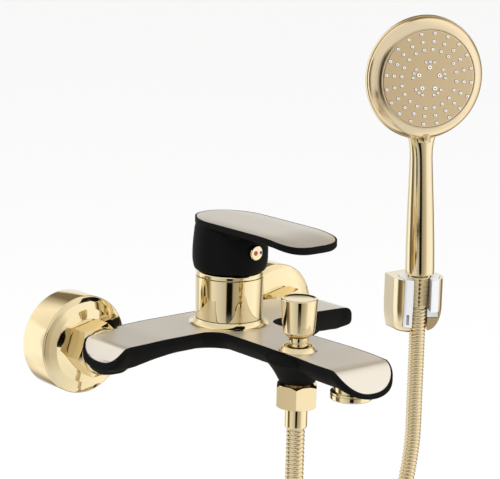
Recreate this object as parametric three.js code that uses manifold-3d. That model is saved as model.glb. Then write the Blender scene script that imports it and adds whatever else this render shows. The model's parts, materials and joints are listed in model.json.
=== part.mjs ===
// Wall mounted single lever bath mixer with diverter, hose, hand shower and bracket.
// Millimetres, +Z up, wall plane at y = 0, the mixer stands out toward -Y.
// The origin is midway between the two inlet axes on the wall plane.
import * as THREE from 'three';
import { mergeVertices } from 'three/addons/utils/BufferGeometryUtils.js';
import Module from 'manifold-3d';

const wasm = await Module();
wasm.setup();

// ---------------------------------------------------------------- driving dimensions
const GAP = 0.3;                 // clearance between neighbouring pieces
const INLET_X = 75;              // half of the 150 mm inlet spacing
const TOP_Z = 12.3;              // top face of the body ribbon
const PLATE_T = 1.7;             // thickness of the top plate
const BELLY_STEPS = 7;           // facets of the half round belly
const RIM = 0.8;                 // black rim left round the top plate
const ARM_CREASE = 85.6;         // where an arm end folds down
const ARM_TIP = 92.8;
const SPOUT_CREASE = 179;
const SPOUT_TIP = 191.6;
const TOWER_Y = -64;             // cartridge axis
const CORNER_R = 11;             // inner corner between an arm and the spout
const CORNER = [19.8, -76];      // where the side of the spout meets the front of an arm
const FLANGE_R = 29.5;
const FLANGE_D = 20.7;
const NUT_AF = 29;               // union nut across flats
const DIV = [-9, -137];          // diverter and hose outlet axis
const AER_Y = -173;              // aerator axis
const HOSE_D = 11;
const LEVER_Z = 76.1;            // top of the lever
const LIFT_Z = 38;               // lever tilting axis
const BORE = [202, -22];         // axis of the hand shower holder
const SLOT_YAW = -35;            // degrees the holder's slot is turned from straight out
const HANDLE_Z = 7;              // underside of the hand shower handle
const HEAD_UP = 133.5;           // head centre above the underside of the handle
const HEAD_YAW = -23;            // degrees the hand shower is turned in its holder
const LEAN = [-0.0225, 0.0193];  // x and y run of the leaning handle for each mm up

// ---------------------------------------------------------------- solid helpers
function toSolid(geometry) {
  let g = geometry.clone();
  g.deleteAttribute('normal');
  g.deleteAttribute('uv');
  g = mergeVertices(g, 1e-4);
  const position = g.attributes.position.array;
  const index = [];
  const raw = g.index.array;
  for (let i = 0; i < raw.length; i += 3) {
    const [a, b, c] = [raw[i], raw[i + 1], raw[i + 2]];
    if (a !== b && b !== c && a !== c) index.push(a, b, c);
  }
  let volume = 0;
  const p = (i, k) => position[3 * i + k];
  for (let i = 0; i < index.length; i += 3) {
    const [a, b, c] = [index[i], index[i + 1], index[i + 2]];
    volume += p(a, 0) * (p(b, 1) * p(c, 2) - p(b, 2) * p(c, 1))
      - p(a, 1) * (p(b, 0) * p(c, 2) - p(b, 2) * p(c, 0))
      + p(a, 2) * (p(b, 0) * p(c, 1) - p(b, 1) * p(c, 0));
  }
  if (volume < 0) {
    for (let i = 0; i < index.length; i += 3) {
      const keep = index[i + 1];
      index[i + 1] = index[i + 2];
      index[i + 2] = keep;
    }
  }
  const mesh = new wasm.Mesh({
    numProp: 3, vertProperties: new Float32Array(position), triVerts: new Uint32Array(index),
  });
  return new wasm.Manifold(mesh);
}

function toGeometry(solid) {
  const mesh = solid.getMesh();
  const g = new THREE.BufferGeometry();
  const count = mesh.vertProperties.length / mesh.numProp;
  const position = new Float32Array(count * 3);
  for (let i = 0; i < count; i += 1) {
    for (let k = 0; k < 3; k += 1) position[3 * i + k] = mesh.vertProperties[i * mesh.numProp + k];
  }
  g.setAttribute('position', new THREE.BufferAttribute(position, 3));
  g.setIndex(new THREE.BufferAttribute(new Uint32Array(mesh.triVerts), 1));
  g.computeVertexNormals();
  return g;
}

// Turned solid standing on the z axis; profile is [radius, height] pairs.
function turnedZ(profile, x, y, seg = 32) {
  const g = new THREE.LatheGeometry(profile.map((p) => new THREE.Vector2(p[0], p[1])), seg);
  g.rotateX(Math.PI / 2);
  g.translate(x, y, 0);
  return toSolid(g);
}

// Turned solid whose heights run out of the wall along -Y.
function turnedY(profile, x, z, seg = 32) {
  const g = new THREE.LatheGeometry(profile.map((p) => new THREE.Vector2(p[0], p[1])), seg);
  g.rotateX(Math.PI);
  g.translate(x, 0, z);
  return toSolid(g);
}

function rod(radius, from, to, x, y, seg = 24) {
  return turnedZ([[0, from], [radius, from], [radius, to], [0, to]], x, y, seg);
}

function rodY(radius, from, to, x, z, seg = 24) {
  return turnedY([[0, from], [radius, from], [radius, to], [0, to]], x, z, seg);
}

function ring(inner, outer, from, to, x, y, seg = 32) {
  return turnedZ([[inner, from], [outer, from], [outer, to], [inner, to], [inner, from]], x, y, seg);
}

function ringY(inner, outer, from, to, x, z, seg = 32) {
  return turnedY([[inner, from], [outer, from], [outer, to], [inner, to], [inner, from]], x, z, seg);
}

// Rod along X between two x positions.
function rodX(radius, x0, x1, y, z, seg = 16) {
  const g = new THREE.CylinderGeometry(radius, radius, Math.abs(x1 - x0), seg);
  g.rotateZ(Math.PI / 2);
  g.translate((x0 + x1) / 2, y, z);
  return toSolid(g);
}

function box(x0, x1, y0, y1, z0, z1) {
  const g = new THREE.BoxGeometry(x1 - x0, y1 - y0, z1 - z0);
  g.translate((x0 + x1) / 2, (y0 + y1) / 2, (z0 + z1) / 2);
  return toSolid(g);
}

// Upright prism from plan points.
function prism(points, z0, z1) {
  const shape = new THREE.Shape(points.map((p) => new THREE.Vector2(p[0], p[1])));
  const g = new THREE.ExtrudeGeometry(shape, { depth: z1 - z0, bevelEnabled: false });
  g.translate(0, 0, z0);
  return toSolid(g);
}

// Hexagonal prism with turned corner chamfers.
function hexZ(af, z0, z1, x, y, turn) {
  const r = af / Math.sqrt(3);
  const points = [];
  for (let i = 0; i < 6; i += 1) {
    const a = turn + (i * Math.PI) / 3;
    points.push([x + r * Math.cos(a), y + r * Math.sin(a)]);
  }
  const c = (r - af / 2) * 0.9;
  const limit = turnedZ([[0, z0], [r - c, z0], [r, z0 + c * 0.8], [r, z1 - c * 0.8], [r - c, z1],
    [0, z1]], x, y, 24);
  return prism(points, z0, z1).intersect(limit);
}

// Closed skin through a list of rings with equal point counts, flat caps at both ends.
function loft(sections) {
  const n = sections[0].length;
  const position = [];
  const index = [];
  sections.forEach((s) => s.forEach((p) => position.push(...p)));
  for (let k = 0; k + 1 < sections.length; k += 1) {
    for (let i = 0; i < n; i += 1) {
      const a = k * n + i;
      const b = k * n + ((i + 1) % n);
      index.push(a, b, a + n, b, b + n, a + n);
    }
  }
  [0, sections.length - 1].forEach((k, side) => {
    const middle = position.length / 3;
    const s = sections[k];
    position.push(...[0, 1, 2].map((c) => s.reduce((t, p) => t + p[c], 0) / n));
    for (let i = 0; i < n; i += 1) {
      const a = k * n + i;
      const b = k * n + ((i + 1) % n);
      if (side === 0) index.push(b, a, middle);
      else index.push(a, b, middle);
    }
  });
  const g = new THREE.BufferGeometry();
  g.setAttribute('position', new THREE.BufferAttribute(new Float32Array(position), 3));
  g.setIndex(index);
  return toSolid(g);
}

const lerp = (a, b, t) => a + (b - a) * t;
const clamp01 = (t) => Math.min(1, Math.max(0, t));
const table = (rows, x) => {
  for (let i = 0; i + 1 < rows.length; i += 1) {
    if (x <= rows[i + 1][0]) {
      return lerp(rows[i][1], rows[i + 1][1], clamp01((x - rows[i][0]) / (rows[i + 1][0] - rows[i][0])));
    }
  }
  return rows[rows.length - 1][1];
};

// ---------------------------------------------------------------- body branches
// Stations along a branch: distance out, half width, top height, belly height, middle offset.
// The last stretch follows the folded tongue.
function tongue(list, crease, tip, wide, power, z0, z1, sag, belly0, belly1, mid) {
  [0.0, 0.2, 0.44, 0.68, 0.86, 0.965].forEach((u) => {
    const t = (u * Math.PI) / 2;
    const s = Math.sin(t) ** power;
    const w = wide * Math.cos(t) ** power;
    const z = z0 + (z1 - z0) * (s + sag * s * (1 - s));
    list.push([lerp(crease, tip, s), w, z, lerp(belly0, belly1, s), mid]);
  });
}

function armStations(inset, extra) {
  const rows = [];
  [0, 40, 55, 66, 78].forEach((d) => {
    const w = table([[0, 21.8], [40, 21.8], [55, 21.2], [67, 20.2], [80, 18.6]], d);
    const mid = table([[0, -54.2], [40, -54.3], [55, -55], [80, -57.2]], d);
    const belly = table([[0, -1.4], [45, -1.6], [60, -3.4], [74, -6], [86, -6]], d);
    rows.push([d, w - inset, table([[0, TOP_Z], [58, TOP_Z], [85.6, 11.2]], d), belly, mid]);
  });
  tongue(rows, ARM_CREASE, ARM_TIP + extra, 17.8 + extra * 0.8 - inset * 0.4, 0.71, 11.1,
    -0.5 - extra * 1.4, -0.8, -6, -3.4, -57.9);
  return rows;
}

function spoutStations(inset, extra) {
  const rows = [];
  [44, 100, 130, 155].forEach((d) => {
    const w = table([[44, 19.8], [100, 19.8], [130, 20.6], [165, 21.7], [179, 20.6]], d);
    const belly = table([[44, -1.4], [100, -2.2], [150, -2.6], [179, -3.2]], d);
    rows.push([d, w - inset, table([[0, TOP_Z], [150, TOP_Z], [179, 11.4]], d), belly, 0]);
  });
  tongue(rows, SPOUT_CREASE, SPOUT_TIP + extra, 20.2 + extra * 0.6 - inset * 0.4, 0.83, 11.3,
    -2.5 - extra * 1.3, -0.62, -3.2, -4.9, 0);
  return rows;
}

// Ring of one station of the casting: flat top, short upright side, half round belly.
function castingRing(w, top, belly, mid, place) {
  const side = Math.min(3.4, Math.max(0.5, (top - belly) * 0.26));
  const depth = top - side - belly;
  const out = [place(mid + w, top), place(mid, top), place(mid - w, top)];
  for (let i = 0; i <= BELLY_STEPS; i += 1) {
    const a = (Math.PI * i) / BELLY_STEPS;
    out.push(place(mid - w * Math.cos(a), top - side - depth * Math.sin(a)));
  }
  return out;
}

function plateRing(w, top, bottom, mid, place) {
  return [place(mid + w, top), place(mid, top), place(mid - w, top),
    place(mid - w, bottom), place(mid, bottom), place(mid + w, bottom)];
}

const armPlace = (sign, d) => (a, z) => [sign * d, a, z];
const spoutPlace = (d) => (a, z) => [a, -d, z];

function branch(stations, ringOf, placeOf) {
  return loft(stations.map((s) => ringOf(s, placeOf(s[0]))));
}

// Both arms from one tip to the other, so the middle is continuous.
function armsLoft(stations, ringOf) {
  const left = stations.slice().reverse().map((s) => ringOf(s, armPlace(-1, s[0])));
  const right = stations.slice(1).map((s) => ringOf(s, armPlace(1, s[0])));
  return loft(left.concat(right));
}

// Flat filling of the rounded inner corner between an arm and the spout.
function cornerFill(sign, inset, z0, z1) {
  const x = CORNER[0] - inset;
  const y = CORNER[1] + inset;
  const r = CORNER_R + inset;
  const points = [[x - 3, y + 3], [x + r, y + 3]];
  for (let i = 0; i <= 6; i += 1) {
    const a = (Math.PI / 2) * (i / 6);
    points.push([x + r * (1 - Math.sin(a)), y - r * (1 - Math.cos(a))]);
  }
  points.push([x - 3, y - r]);
  const placed = points.map((p) => [sign * p[0], p[1]]);
  return prism(sign < 0 ? placed.reverse() : placed, z0, z1);
}

// The casting's own side and half belly, swept round the inner corner.
function cornerSweep(sign) {
  const top = TOP_Z;
  const side = 3.4;
  const depth = top - side + 1.4;
  const rings = [];
  for (let k = 0; k <= 6; k += 1) {
    const turn = (Math.PI / 2) * (k / 6);
    const w = lerp(19.8, 21.8, k / 6);
    const at = (r, z) => [sign * (CORNER[0] + CORNER_R - r * Math.cos(turn)),
      CORNER[1] - CORNER_R + r * Math.sin(turn), z];
    const ringPoints = [at(CORNER_R, top)];
    for (let i = 0; i <= 3; i += 1) {
      const a = (Math.PI * i) / BELLY_STEPS;
      ringPoints.push(at(CORNER_R + w * (1 - Math.cos(a)), top - side - depth * Math.sin(a)));
    }
    const last = top - side - depth * Math.sin((Math.PI * 3) / BELLY_STEPS);
    ringPoints.push(at(CORNER_R + w, last), at(CORNER_R + w, top));
    rings.push(ringPoints);
  }
  return loft(rings);
}

function ribbon(inset, z0of, z1of, rise) {
  const ringOf = (s, place) => plateRing(s[1], s[2] + z1of, s[2] + z0of, s[4], place);
  let solid = armsLoft(armStations(inset, 0), ringOf)
    .add(branch(spoutStations(inset, 0), ringOf, spoutPlace));
  [-1, 1].forEach((sign) => {
    solid = solid.add(cornerFill(sign, inset, TOP_Z + z0of, TOP_Z + z1of + rise));
  });
  return solid;
}

// Cuts the room for the union nuts and the inlet rings behind the arms.
function inletRoom(solid) {
  let out = solid;
  [-1, 1].forEach((sign) => {
    out = out.subtract(turnedY([[0, 15], [17.3, 15], [17.3, 38.6], [13.8, 38.6], [13.8, 41.3],
      [0, 41.3]], sign * INLET_X, 0, 24));
  });
  return out;
}

function mixerBody() {
  const ringOf = (s, place) => castingRing(s[1], s[2], s[3], s[4], place);
  let body = armsLoft(armStations(0, 1.3), ringOf)
    .add(branch(spoutStations(0, 1.3), ringOf, spoutPlace));
  [-1, 1].forEach((sign) => {
    body = body.add(cornerSweep(sign));
    body = body.add(turnedY([[0, 41.3], [12.8, 41.3], [13.2, 44], [12, 49], [9.6, 56],
      [6, 61], [0, 62]], sign * INLET_X, 0, 24));
  });
  // cartridge housing and hose outlet boss
  body = body.add(rod(19.2, 4, 38.6, 0, TOWER_Y, 32));
  body = body.add(turnedZ([[0, -6.5], [9.9, -6.5], [10.5, -5.8], [11.8, -3.4], [13.4, -0.2],
    [15.4, 3.6], [16.2, 7], [0, 7]], DIV[0], DIV[1], 26));
  // seat for the top plate, open upward
  const seat = ribbon(RIM - GAP, -PLATE_T - GAP, 9, 0);
  const keep = rod(19.2, 2, 60, 0, TOWER_Y, 32);
  body = body.subtract(seat.subtract(keep));
  body = inletRoom(body);
  // waterways
  [-1, 1].forEach((sign) => {
    body = body.subtract(rodY(9.2, 30, 49, sign * INLET_X, 0, 16));
    body = body.subtract(rodY(6.4, 30, 56, sign * INLET_X, 0, 12));
    body = body.subtract(rodX(3.9, sign * 8, sign * (INLET_X + 3), -53, 3.4, 8));
    body = body.subtract(rod(3.4, 2, 16, sign * 8.5, -55, 8));
  });
  body = body.subtract(rod(17.6, 14, 50, 0, TOWER_Y, 32));
  body = body.subtract(rod(3.6, 3, 16, 0, -74, 8));
  body = body.subtract(rodY(3.9, 71, 174, 0, 3.4, 8));
  body = body.subtract(rod(7.2, -3, 20, DIV[0], DIV[1], 18));
  body = body.subtract(rod(8.6, -9, 0.4, DIV[0], DIV[1], 18));
  body = body.subtract(rod(10.6, -6, 3.2, 0, AER_Y, 22));
  return body;
}

function topPlate() {
  const boss = turnedZ([[0, 11], [24.4, 11], [24.4, TOP_Z - 0.2], [22.6, 12.9], [21.2, 14.1],
    [20.4, 15.8], [0, 15.8]], 0, TOWER_Y, 36);
  const outline = ribbon(RIM, -PLATE_T, 14, 6);
  let plate = ribbon(RIM, -PLATE_T, 0, 0).add(boss.intersect(outline));
  plate = plate.subtract(rod(19.5, 0, 30, 0, TOWER_Y, 32));
  plate = inletRoom(plate);
  return plate.subtract(rod(11.1, 0, 30, DIV[0], DIV[1], 28));
}

// ---------------------------------------------------------------- wall side
function wallFlange(sign) {
  return turnedY([[28, 0], [FLANGE_R, 0], [FLANGE_R, FLANGE_D - 0.3], [28.6, 21], [26, 22.3],
    [20, 24], [13.6, 24.9], [13.6, 23.3], [20, 22.4], [28, 18.4], [28, 0]],
  sign * INLET_X, 0, 32);
}

// Threaded tail screwed into the body; its collar sits behind the union nut.
function inletTail(sign) {
  return turnedY([[6.4, 34.3], [12.3, 34.3], [12.3, 36.1], [9.9, 36.1], [9.9, 38.8], [13.4, 38.8],
    [13.4, 41], [8.9, 41], [8.9, 48.6], [6.4, 48.6], [6.4, 34.3]],
  sign * INLET_X, 0, 20);
}

function connector(sign) {
  return turnedY([[7.5, -20], [10.4, -20], [10.4, -3], [9.4, -2], [9.4, 7], [13.2, 12],
    [13.2, 32.2], [7.5, 32.2], [7.5, -20]], sign * INLET_X, 0, 20);
}

function unionNut(sign) {
  const turn = (12 * Math.PI) / 180;
  const r = NUT_AF / Math.sqrt(3);
  const y0 = 25.3;
  const y1 = 38.3;
  const points = [];
  for (let i = 0; i < 6; i += 1) {
    const a = turn + (i * Math.PI) / 3;
    points.push([r * Math.cos(a), r * Math.sin(a)]);
  }
  const shape = new THREE.Shape(points.map((p) => new THREE.Vector2(p[0], p[1])));
  const g = new THREE.ExtrudeGeometry(shape, { depth: y1 - y0, bevelEnabled: false });
  g.rotateX(Math.PI / 2);
  g.translate(sign * INLET_X, -y0, 0);
  const limit = turnedY([[0, y0], [14.9, y0], [r + 0.1, y0 + 1], [r + 0.1, y1 - 1.8], [14.2, y1],
    [0, y1]], sign * INLET_X, 0, 24);
  return toSolid(g).intersect(limit)
    .subtract(rodY(13.6, 20, 36.4, sign * INLET_X, 0, 20))
    .subtract(rodY(10.4, 20, 40, sign * INLET_X, 0, 20));
}

// ---------------------------------------------------------------- cartridge and tower
const sleeve = () => turnedZ([[19.6, 16.1], [20.2, 16.1], [20.5, 41.2], [19.6, 41.2], [19.6, 16.1]],
  0, TOWER_Y, 36);
const trimRing = () => turnedZ([[19.4, 41.5], [20.3, 41.5], [20.3, 43.4], [19.2, 44.8], [17, 46.2],
  [14.6, 46.9], [14.6, 46], [18, 44], [19.4, 42.4], [19.4, 41.5]], 0, TOWER_Y, 32);
const lockNut = () => turnedZ([[14.6, 30.6], [17.3, 30.6], [17.3, 39.4], [14.6, 39.4], [14.6, 30.6]],
  0, TOWER_Y, 20)
  .add(prism(Array.from({ length: 6 }, (_, i) => [19 * Math.cos(0.2 + (i * Math.PI) / 3),
    TOWER_Y + 19 * Math.sin(0.2 + (i * Math.PI) / 3)]), 38.9, 41.2))
  .subtract(rod(14.6, 30, 45, 0, TOWER_Y, 20));

function cartridgeHousing() {
  let c = turnedZ([[0, 16.4], [17.2, 16.4], [17.2, 30.2], [14.2, 30.2], [14.2, 42.4], [0, 42.4]],
    0, TOWER_Y, 24);
  c = c.subtract(rod(12.4, 22, 45, 0, TOWER_Y, 24));
  [[8.5, -55], [-8.5, -55], [0, -74]].forEach(([x, y]) => {
    c = c.subtract(rod(2.8, 10, 25, x, y, 8));
  });
  return c;
}

function cartridgeSeal() {
  let c = rod(16.8, 14.3, 16.1, 0, TOWER_Y, 24);
  [[8.5, -55], [-8.5, -55], [0, -74]].forEach(([x, y]) => {
    c = c.subtract(rod(3, 10, 20, x, y, 8));
  });
  return c;
}

function fixedDisc() {
  let c = rod(12, 22.3, 25.2, 0, TOWER_Y, 24);
  [[6.5, -58.5], [-6.5, -58.5], [0, -71]].forEach(([x, y]) => {
    c = c.subtract(rod(2.4, 20, 28, x, y, 8));
  });
  return c;
}

const movingDisc = () => rod(9.4, 25.5, 28.6, 0, TOWER_Y, 20)
  .subtract(box(-4, 4, TOWER_Y - 7, TOWER_Y + 4, 24, 26.9));

function stemCarrier() {
  let c = rod(12, 29, 42.8, 0, TOWER_Y, 24);
  c = c.subtract(box(-4.5, 4.5, TOWER_Y - 7.6, TOWER_Y + 7.6, 31, 45));
  return c.subtract(rodX(1.8, -10, 10, TOWER_Y, LIFT_Z, 12));
}

const pivotPin = () => rodX(1.4, -9.2, 9.2, TOWER_Y, LIFT_Z, 12);

function leverStem() {
  const s = box(-4, 4, TOWER_Y - 4, TOWER_Y + 4, 33, 64);
  return s.subtract(rodX(1.75, -6, 6, TOWER_Y, LIFT_Z, 12));
}

// ---------------------------------------------------------------- lever
// Half width of the lever at a distance y, shrunk by inset all round.
function leverHalf(y, inset) {
  const rear = -41.4 - inset;
  const front = -141.6 + inset;
  const y1 = rear - 28;
  const y2 = front + 19;
  if (y > y1) return (20.6 - inset) * Math.sqrt(Math.max(0, 1 - ((y - y1) / 28) ** 2));
  if (y < y2) return (20.3 - inset) * Math.max(0, 1 - ((y2 - y) / 19) ** 3.1) ** (1 / 3.1);
  return 20.5 - inset;
}

const leverTop = (y) => LEVER_Z - 3.2 * clamp01((-y - 112) / 30) ** 2;

function leverSlab(inset, top, bottom, soft) {
  const rear = -41.4 - inset;
  const front = -141.6 + inset;
  const stations = [rear - 0.25, rear - 1.4, rear - 3.6, rear - 7.5, rear - 13, rear - 20, rear - 28,
    -90, -108, -118, front + 19, front + 14, front + 9.5, front + 6, front + 3.2, front + 1.2,
    front + 0.2];
  return loft(stations.map((y) => {
    const w = Math.max(leverHalf(y, inset), 0.4);
    const t = leverTop(y) + top;
    const b = leverTop(y) + bottom;
    const c = Math.min(soft, w * 0.4);
    return [[w, y, t], [-w, y, t], [-w, y, b + c * 0.7], [-w + c, y, b], [w - c, y, b],
      [w, y, b + c * 0.7]];
  }));
}

function leverBody() {
  let cap = turnedZ([[0, 45.3], [20.9, 45.3], [21.5, 46.3], [22.1, 48.6], [22.6, 52], [22.6, 57],
    [22.2, 64], [21.6, 70], [20.8, 74], [0, 74]], 0, TOWER_Y, 36);
  cap = cap.add(leverSlab(-0.9, 0, -4.2, 1.2));
  // the underside swells from the cap into the paddle
  cap = cap.add(loft([[-66, 15, 60], [-80, 14, 62.5], [-90, 13, 67], [-102, 12, 70.4],
    [-116, 10, 72.6]].map(([y, w, b]) => {
    const t = 73.5;
    return [[w + 3, y, t], [-w - 3, y, t], [-w, y, b + 1.4], [-w * 0.6, y, b], [w * 0.6, y, b],
      [w, y, b + 1.4]];
  })));
  const room = turnedZ([[0, 40], [20.15, 40], [20.15, 45.6], [19.9, 46.6], [20.4, 49], [19, 62], [16, 66.5],
    [0, 66.5]],
    0, TOWER_Y, 28);
  cap = cap.subtract(room);
  cap = cap.add(turnedZ([[0, 52], [8.6, 52], [9.2, 68], [0, 68]], 0, TOWER_Y, 14));
  cap = cap.subtract(box(-4.3, 4.3, TOWER_Y - 4.3, TOWER_Y + 4.3, 50, 64.3));
  cap = cap.subtract(rodY(2.8, 66, 74.5, 0, 58.8, 12));
  cap = cap.subtract(rodY(3.3, 80, 90, 0, 58.8, 16));
  return cap.subtract(leverSlab(-GAP, 8, -1.5, 0.3));
}

const leverPlate = () => leverSlab(0, 0, -1.2, 0.3);
const grubScrew = () => rodY(2.5, 68.4, 73.4, 0, 58.8, 10)
  .subtract(rodY(1.2, 71.4, 75, 0, 58.8, 6));

// Enamel dots on the button: distance from its middle and radius.
const DOTS = { hot: [-1.1, 1.15], cold: [2.9, 0.75] };

function indicator() {
  const button = turnedY([[0, 82], [3, 82], [3, 86.9], [4.5, 86.9], [4.5, 88], [4.1, 88.6],
    [0, 88.6]], 0, 58.8, 18);
  return Object.values(DOTS).reduce((solid, [x, r]) => solid.subtract(
    rodY(r + GAP, 88, 90, x, 58.8, 12)), button);
}

const indicatorDot = ([x, r]) => rodY(r, 88.3, 88.7, x, 58.8, 12);

// ---------------------------------------------------------------- diverter and outlet
const [DX, DY] = DIV;
const diverterCollar = () => turnedZ([[6.3, 3], [7, 3], [7, 10.4], [10.8, 10.4], [10.8, 12.6],
  [10.2, 13], [8.9, 15], [8.2, 15], [8.2, 12.2], [6.3, 12.2], [6.3, 3]], DX, DY, 28);
const diverterKnob = () => turnedZ([[0, 22.2], [5, 22.2], [5, 20.6], [7.4, 21.4], [9.2, 23.8],
  [10.7, 42.2], [10.2, 43], [9.4, 42.9], [8.8, 42.4], [0, 42.1]], DX, DY, 28)
  .subtract(rod(2.3, 10, 30, DX, DY, 10));
const diverterStem = () => turnedZ([[0, -0.6], [4.6, -0.6], [4.6, 0.8], [2, 0.8], [2, 9.4],
  [4.3, 9.4], [5.8, 10.8], [5.8, 17], [5.4, 17.3], [5.8, 17.6], [5.8, 20.2], [4.7, 20.2],
  [4.7, 21.8], [2, 21.9], [2, 29], [0, 29]], DX, DY, 18);
const diverterRing = () => ring(2.3, 5.9, 1.2, 3.6, DX, DY, 16);
const outletNipple = () => turnedZ([[5.2, -16.3], [8.1, -16.3], [8.3, -15.7], [8.3, 0], [5.2, 0],
  [5.2, -16.3]], DX, DY, 16);

function hoseNut() {
  return hexZ(22.8, -20.9, -7.4, DX, DY, 0.82)
    .subtract(rod(8.7, -18.1, -5, DX, DY, 16))
    .subtract(rod(5.8, -30, -5, DX, DY, 16));
}

const outletWasher = () => ring(4.6, 8.2, -17.8, -16.6, DX, DY, 16);
const outletFerrule = () => turnedZ([[3.2, -33.6], [6.1, -33.6], [6.6, -32.8], [6.6, -22.1],
  [6.2, -21.2], [5.3, -21.2], [5.3, -18.1], [3.2, -18.1], [3.2, -33.6]], DX, DY, 20);

// ---------------------------------------------------------------- aerator
const aeratorHousing = () => turnedZ([[9.2, 1.6], [10.2, 1.6], [10.2, -4.9], [12.1, -4.9],
  [12.1, -9], [11.6, -9.4], [9.9, -9.4], [9.9, -7.4], [9.2, -6.6], [9.2, 1.6]], 0, AER_Y, 28);

function aeratorInsert() {
  let c = rod(8.8, -7.6, 0.6, 0, AER_Y, 20);
  [[0, 0], [4.6, 0], [-4.6, 0], [2.3, 4], [-2.3, 4], [2.3, -4], [-2.3, -4]].forEach(([x, y]) => {
    c = c.subtract(rod(1.7, -12, 5, x, AER_Y + y, 6));
  });
  return c;
}

const aeratorGasket = () => ring(7, 10.2, 1.9, 2.9, 0, AER_Y, 16);

// ---------------------------------------------------------------- hand shower holder
// Outline of the holder: flat against the wall and round in front, shrunk by k.
function holderPlan(k) {
  const [bx] = BORE;
  const points = [[bx + 11 * k, 0], [bx + 12.6 * k, -4]];
  for (let i = 0; i <= 16; i += 1) {
    const a = ((24 - (228 * i) / 16) * Math.PI) / 180;
    points.push([bx + 17.6 * k * Math.cos(a), -19.6 + 17.6 * k * Math.sin(a)]);
  }
  points.push([bx - 12.6 * k, -4], [bx - 11 * k, 0]);
  return points;
}

// Places a solid drawn round the bore's axis, its slot toward -Y, at the turned bore.
function onBore(solid) {
  const g = toGeometry(solid);
  g.rotateZ((SLOT_YAW * Math.PI) / 180);
  g.translate(BORE[0], BORE[1], 0);
  return toSolid(g);
}

function holderShell() {
  const levels = [[5, 0.985], [4.2, 1], [-14, 1], [-20, 0.98], [-25.5, 0.92], [-29.5, 0.82],
    [-32, 0.66]];
  const solid = loft(levels.map(([z, k]) => holderPlan(k).map(([x, y]) => {
    const drop = (1 - k) * 12;
    return [x, y === 0 ? 0 : Math.min(y + drop, -1), z];
  })));
  const room = rod(14, -23, 9, 0, 1, 32)
    .add(box(-12, 12, -40, 0, -16.9, 9))
    .add(box(-12, -5, -40, -5, -27.3, 9))
    .add(box(-6.2, 6.2, -40, 0, -40, 9))
    .add(box(-6, 40, -40, -2, -40, -16.9))
    .add(rod(6.2, -40, 9, 0, 0, 24));
  return solid.subtract(onBore(room))
    .subtract(rodY(1.9, -1, 9, BORE[0], -7, 12))
    .subtract(rodY(3.4, 3, 9, BORE[0], -7, 12));
}

function holderLiner() {
  const cheeks = box(-11.7, 11.7, -15.9, 0, -16.6, 5.3)
    .add(box(-11.7, -6.3, -15.9, -5.4, -27, 0))
    .intersect(rod(16, -30, 9, 0, 0, 32));
  const liner = rod(13.7, -22.7, 5.3, 0, 1, 32)
    .subtract(box(-6, 40, -40, -1.7, -40, -16.6))
    .add(cheeks)
    .subtract(turnedZ([[0, 9], [8, 9], [7.9, 5.3], [6.8, -15], [6.2, -16.4], [6.2, -30], [0, -30]],
      0, 0, 28))
    .subtract(box(-6.1, 6.1, -60, 0, -40, 9))
    .subtract(box(-9.9, -8.1, -40, -9, -25.4, -18.4));
  return onBore(liner);
}

const holderScrew = () => rodY(1.6, -7.5, 3.6, BORE[0], -7, 10)
  .add(turnedY([[0, 3.3], [3, 3.3], [3, 3.9], [2.2, 5], [0, 5]], BORE[0], -7, 14));

// ---------------------------------------------------------------- hand shower
function placeHandset(solid) {
  const g = toGeometry(solid);
  const up = new THREE.Vector3(0, 0, 1);
  g.rotateZ((HEAD_YAW * Math.PI) / 180);
  g.applyQuaternion(new THREE.Quaternion().setFromUnitVectors(up,
    new THREE.Vector3(LEAN[0], LEAN[1], 1).normalize()));
  g.translate(BORE[0], BORE[1], HANDLE_Z);
  return toSolid(g);
}

// Turned piece of the head, its heights running out of the spray face.
const head = (profile, seg = 32) => turnedY(profile, 0, HEAD_UP, seg);

function handsetShell() {
  const oval = (a, b, z, y) => Array.from({ length: 16 }, (_, i) => {
    const t = (2 * Math.PI * i) / 16;
    return [a * Math.cos(t), y + b * Math.sin(t), z];
  });
  const handle = loft([oval(9.4, 9.4, 0, 0), oval(9.9, 9.9, 1, 0), oval(9.7, 9.6, 20, 0),
    oval(9, 8.9, 45, 0), oval(8.1, 7.8, 68, 0), oval(7.7, 7, 82, 0), oval(8.3, 6.3, 90, -0.3),
    oval(11.3, 5.6, 97, -0.8), oval(17, 4.6, 103, -1.4), oval(22, 3.4, 109, -1.6),
    oval(20, 2.2, 117, -1)]);
  let shell = head([[0, -6.4], [12, -6.2], [23, -5.4], [32, -3.4], [38, -0.4], [40.8, 2.4],
    [41.2, 3.8], [40.6, 5], [0, 5]], 40);
  shell = handle.add(shell);
  shell = shell.subtract(head([[0, -3.2], [20, -2.6], [31, -0.6], [37.4, 2.6], [37.4, 9], [0, 9]]));
  // seat of the turning bezel and its tab
  shell = shell.subtract(head([[0, 5.05], [40.9, 5.05], [40.9, 5.8], [43.4, 5.8], [43.4, 16],
    [0, 16]]));
  // water way through the handle
  const way = loft([oval(5.6, 5.6, -1, 0), oval(5.6, 5.6, 14, 0), oval(5.2, 4.6, 70, 0),
    oval(5, 3.2, 90, -0.3), oval(5, 2.2, 103, -0.6), oval(5, 1.4, 109, -0.8)]);
  return placeHandset(shell.subtract(way));
}

function sprayBezel() {
  let b = head([[36, 5.4], [40.2, 5.4], [40.2, 6], [39.2, 8], [37, 10.2], [34.4, 11.7],
    [32.6, 12.2], [32.2, 12.1], [32.2, 7.6], [36, 5.4]], 40);
  const tab = box(-1.7, 1.7, -10.6, -6.2, HEAD_UP - 42, HEAD_UP - 37.4)
    .add(box(-1.4, 1.4, -9.8, -6.4, HEAD_UP - 42.8, HEAD_UP - 41.4));
  b = b.add(tab);
  return placeHandset(b);
}

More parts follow.
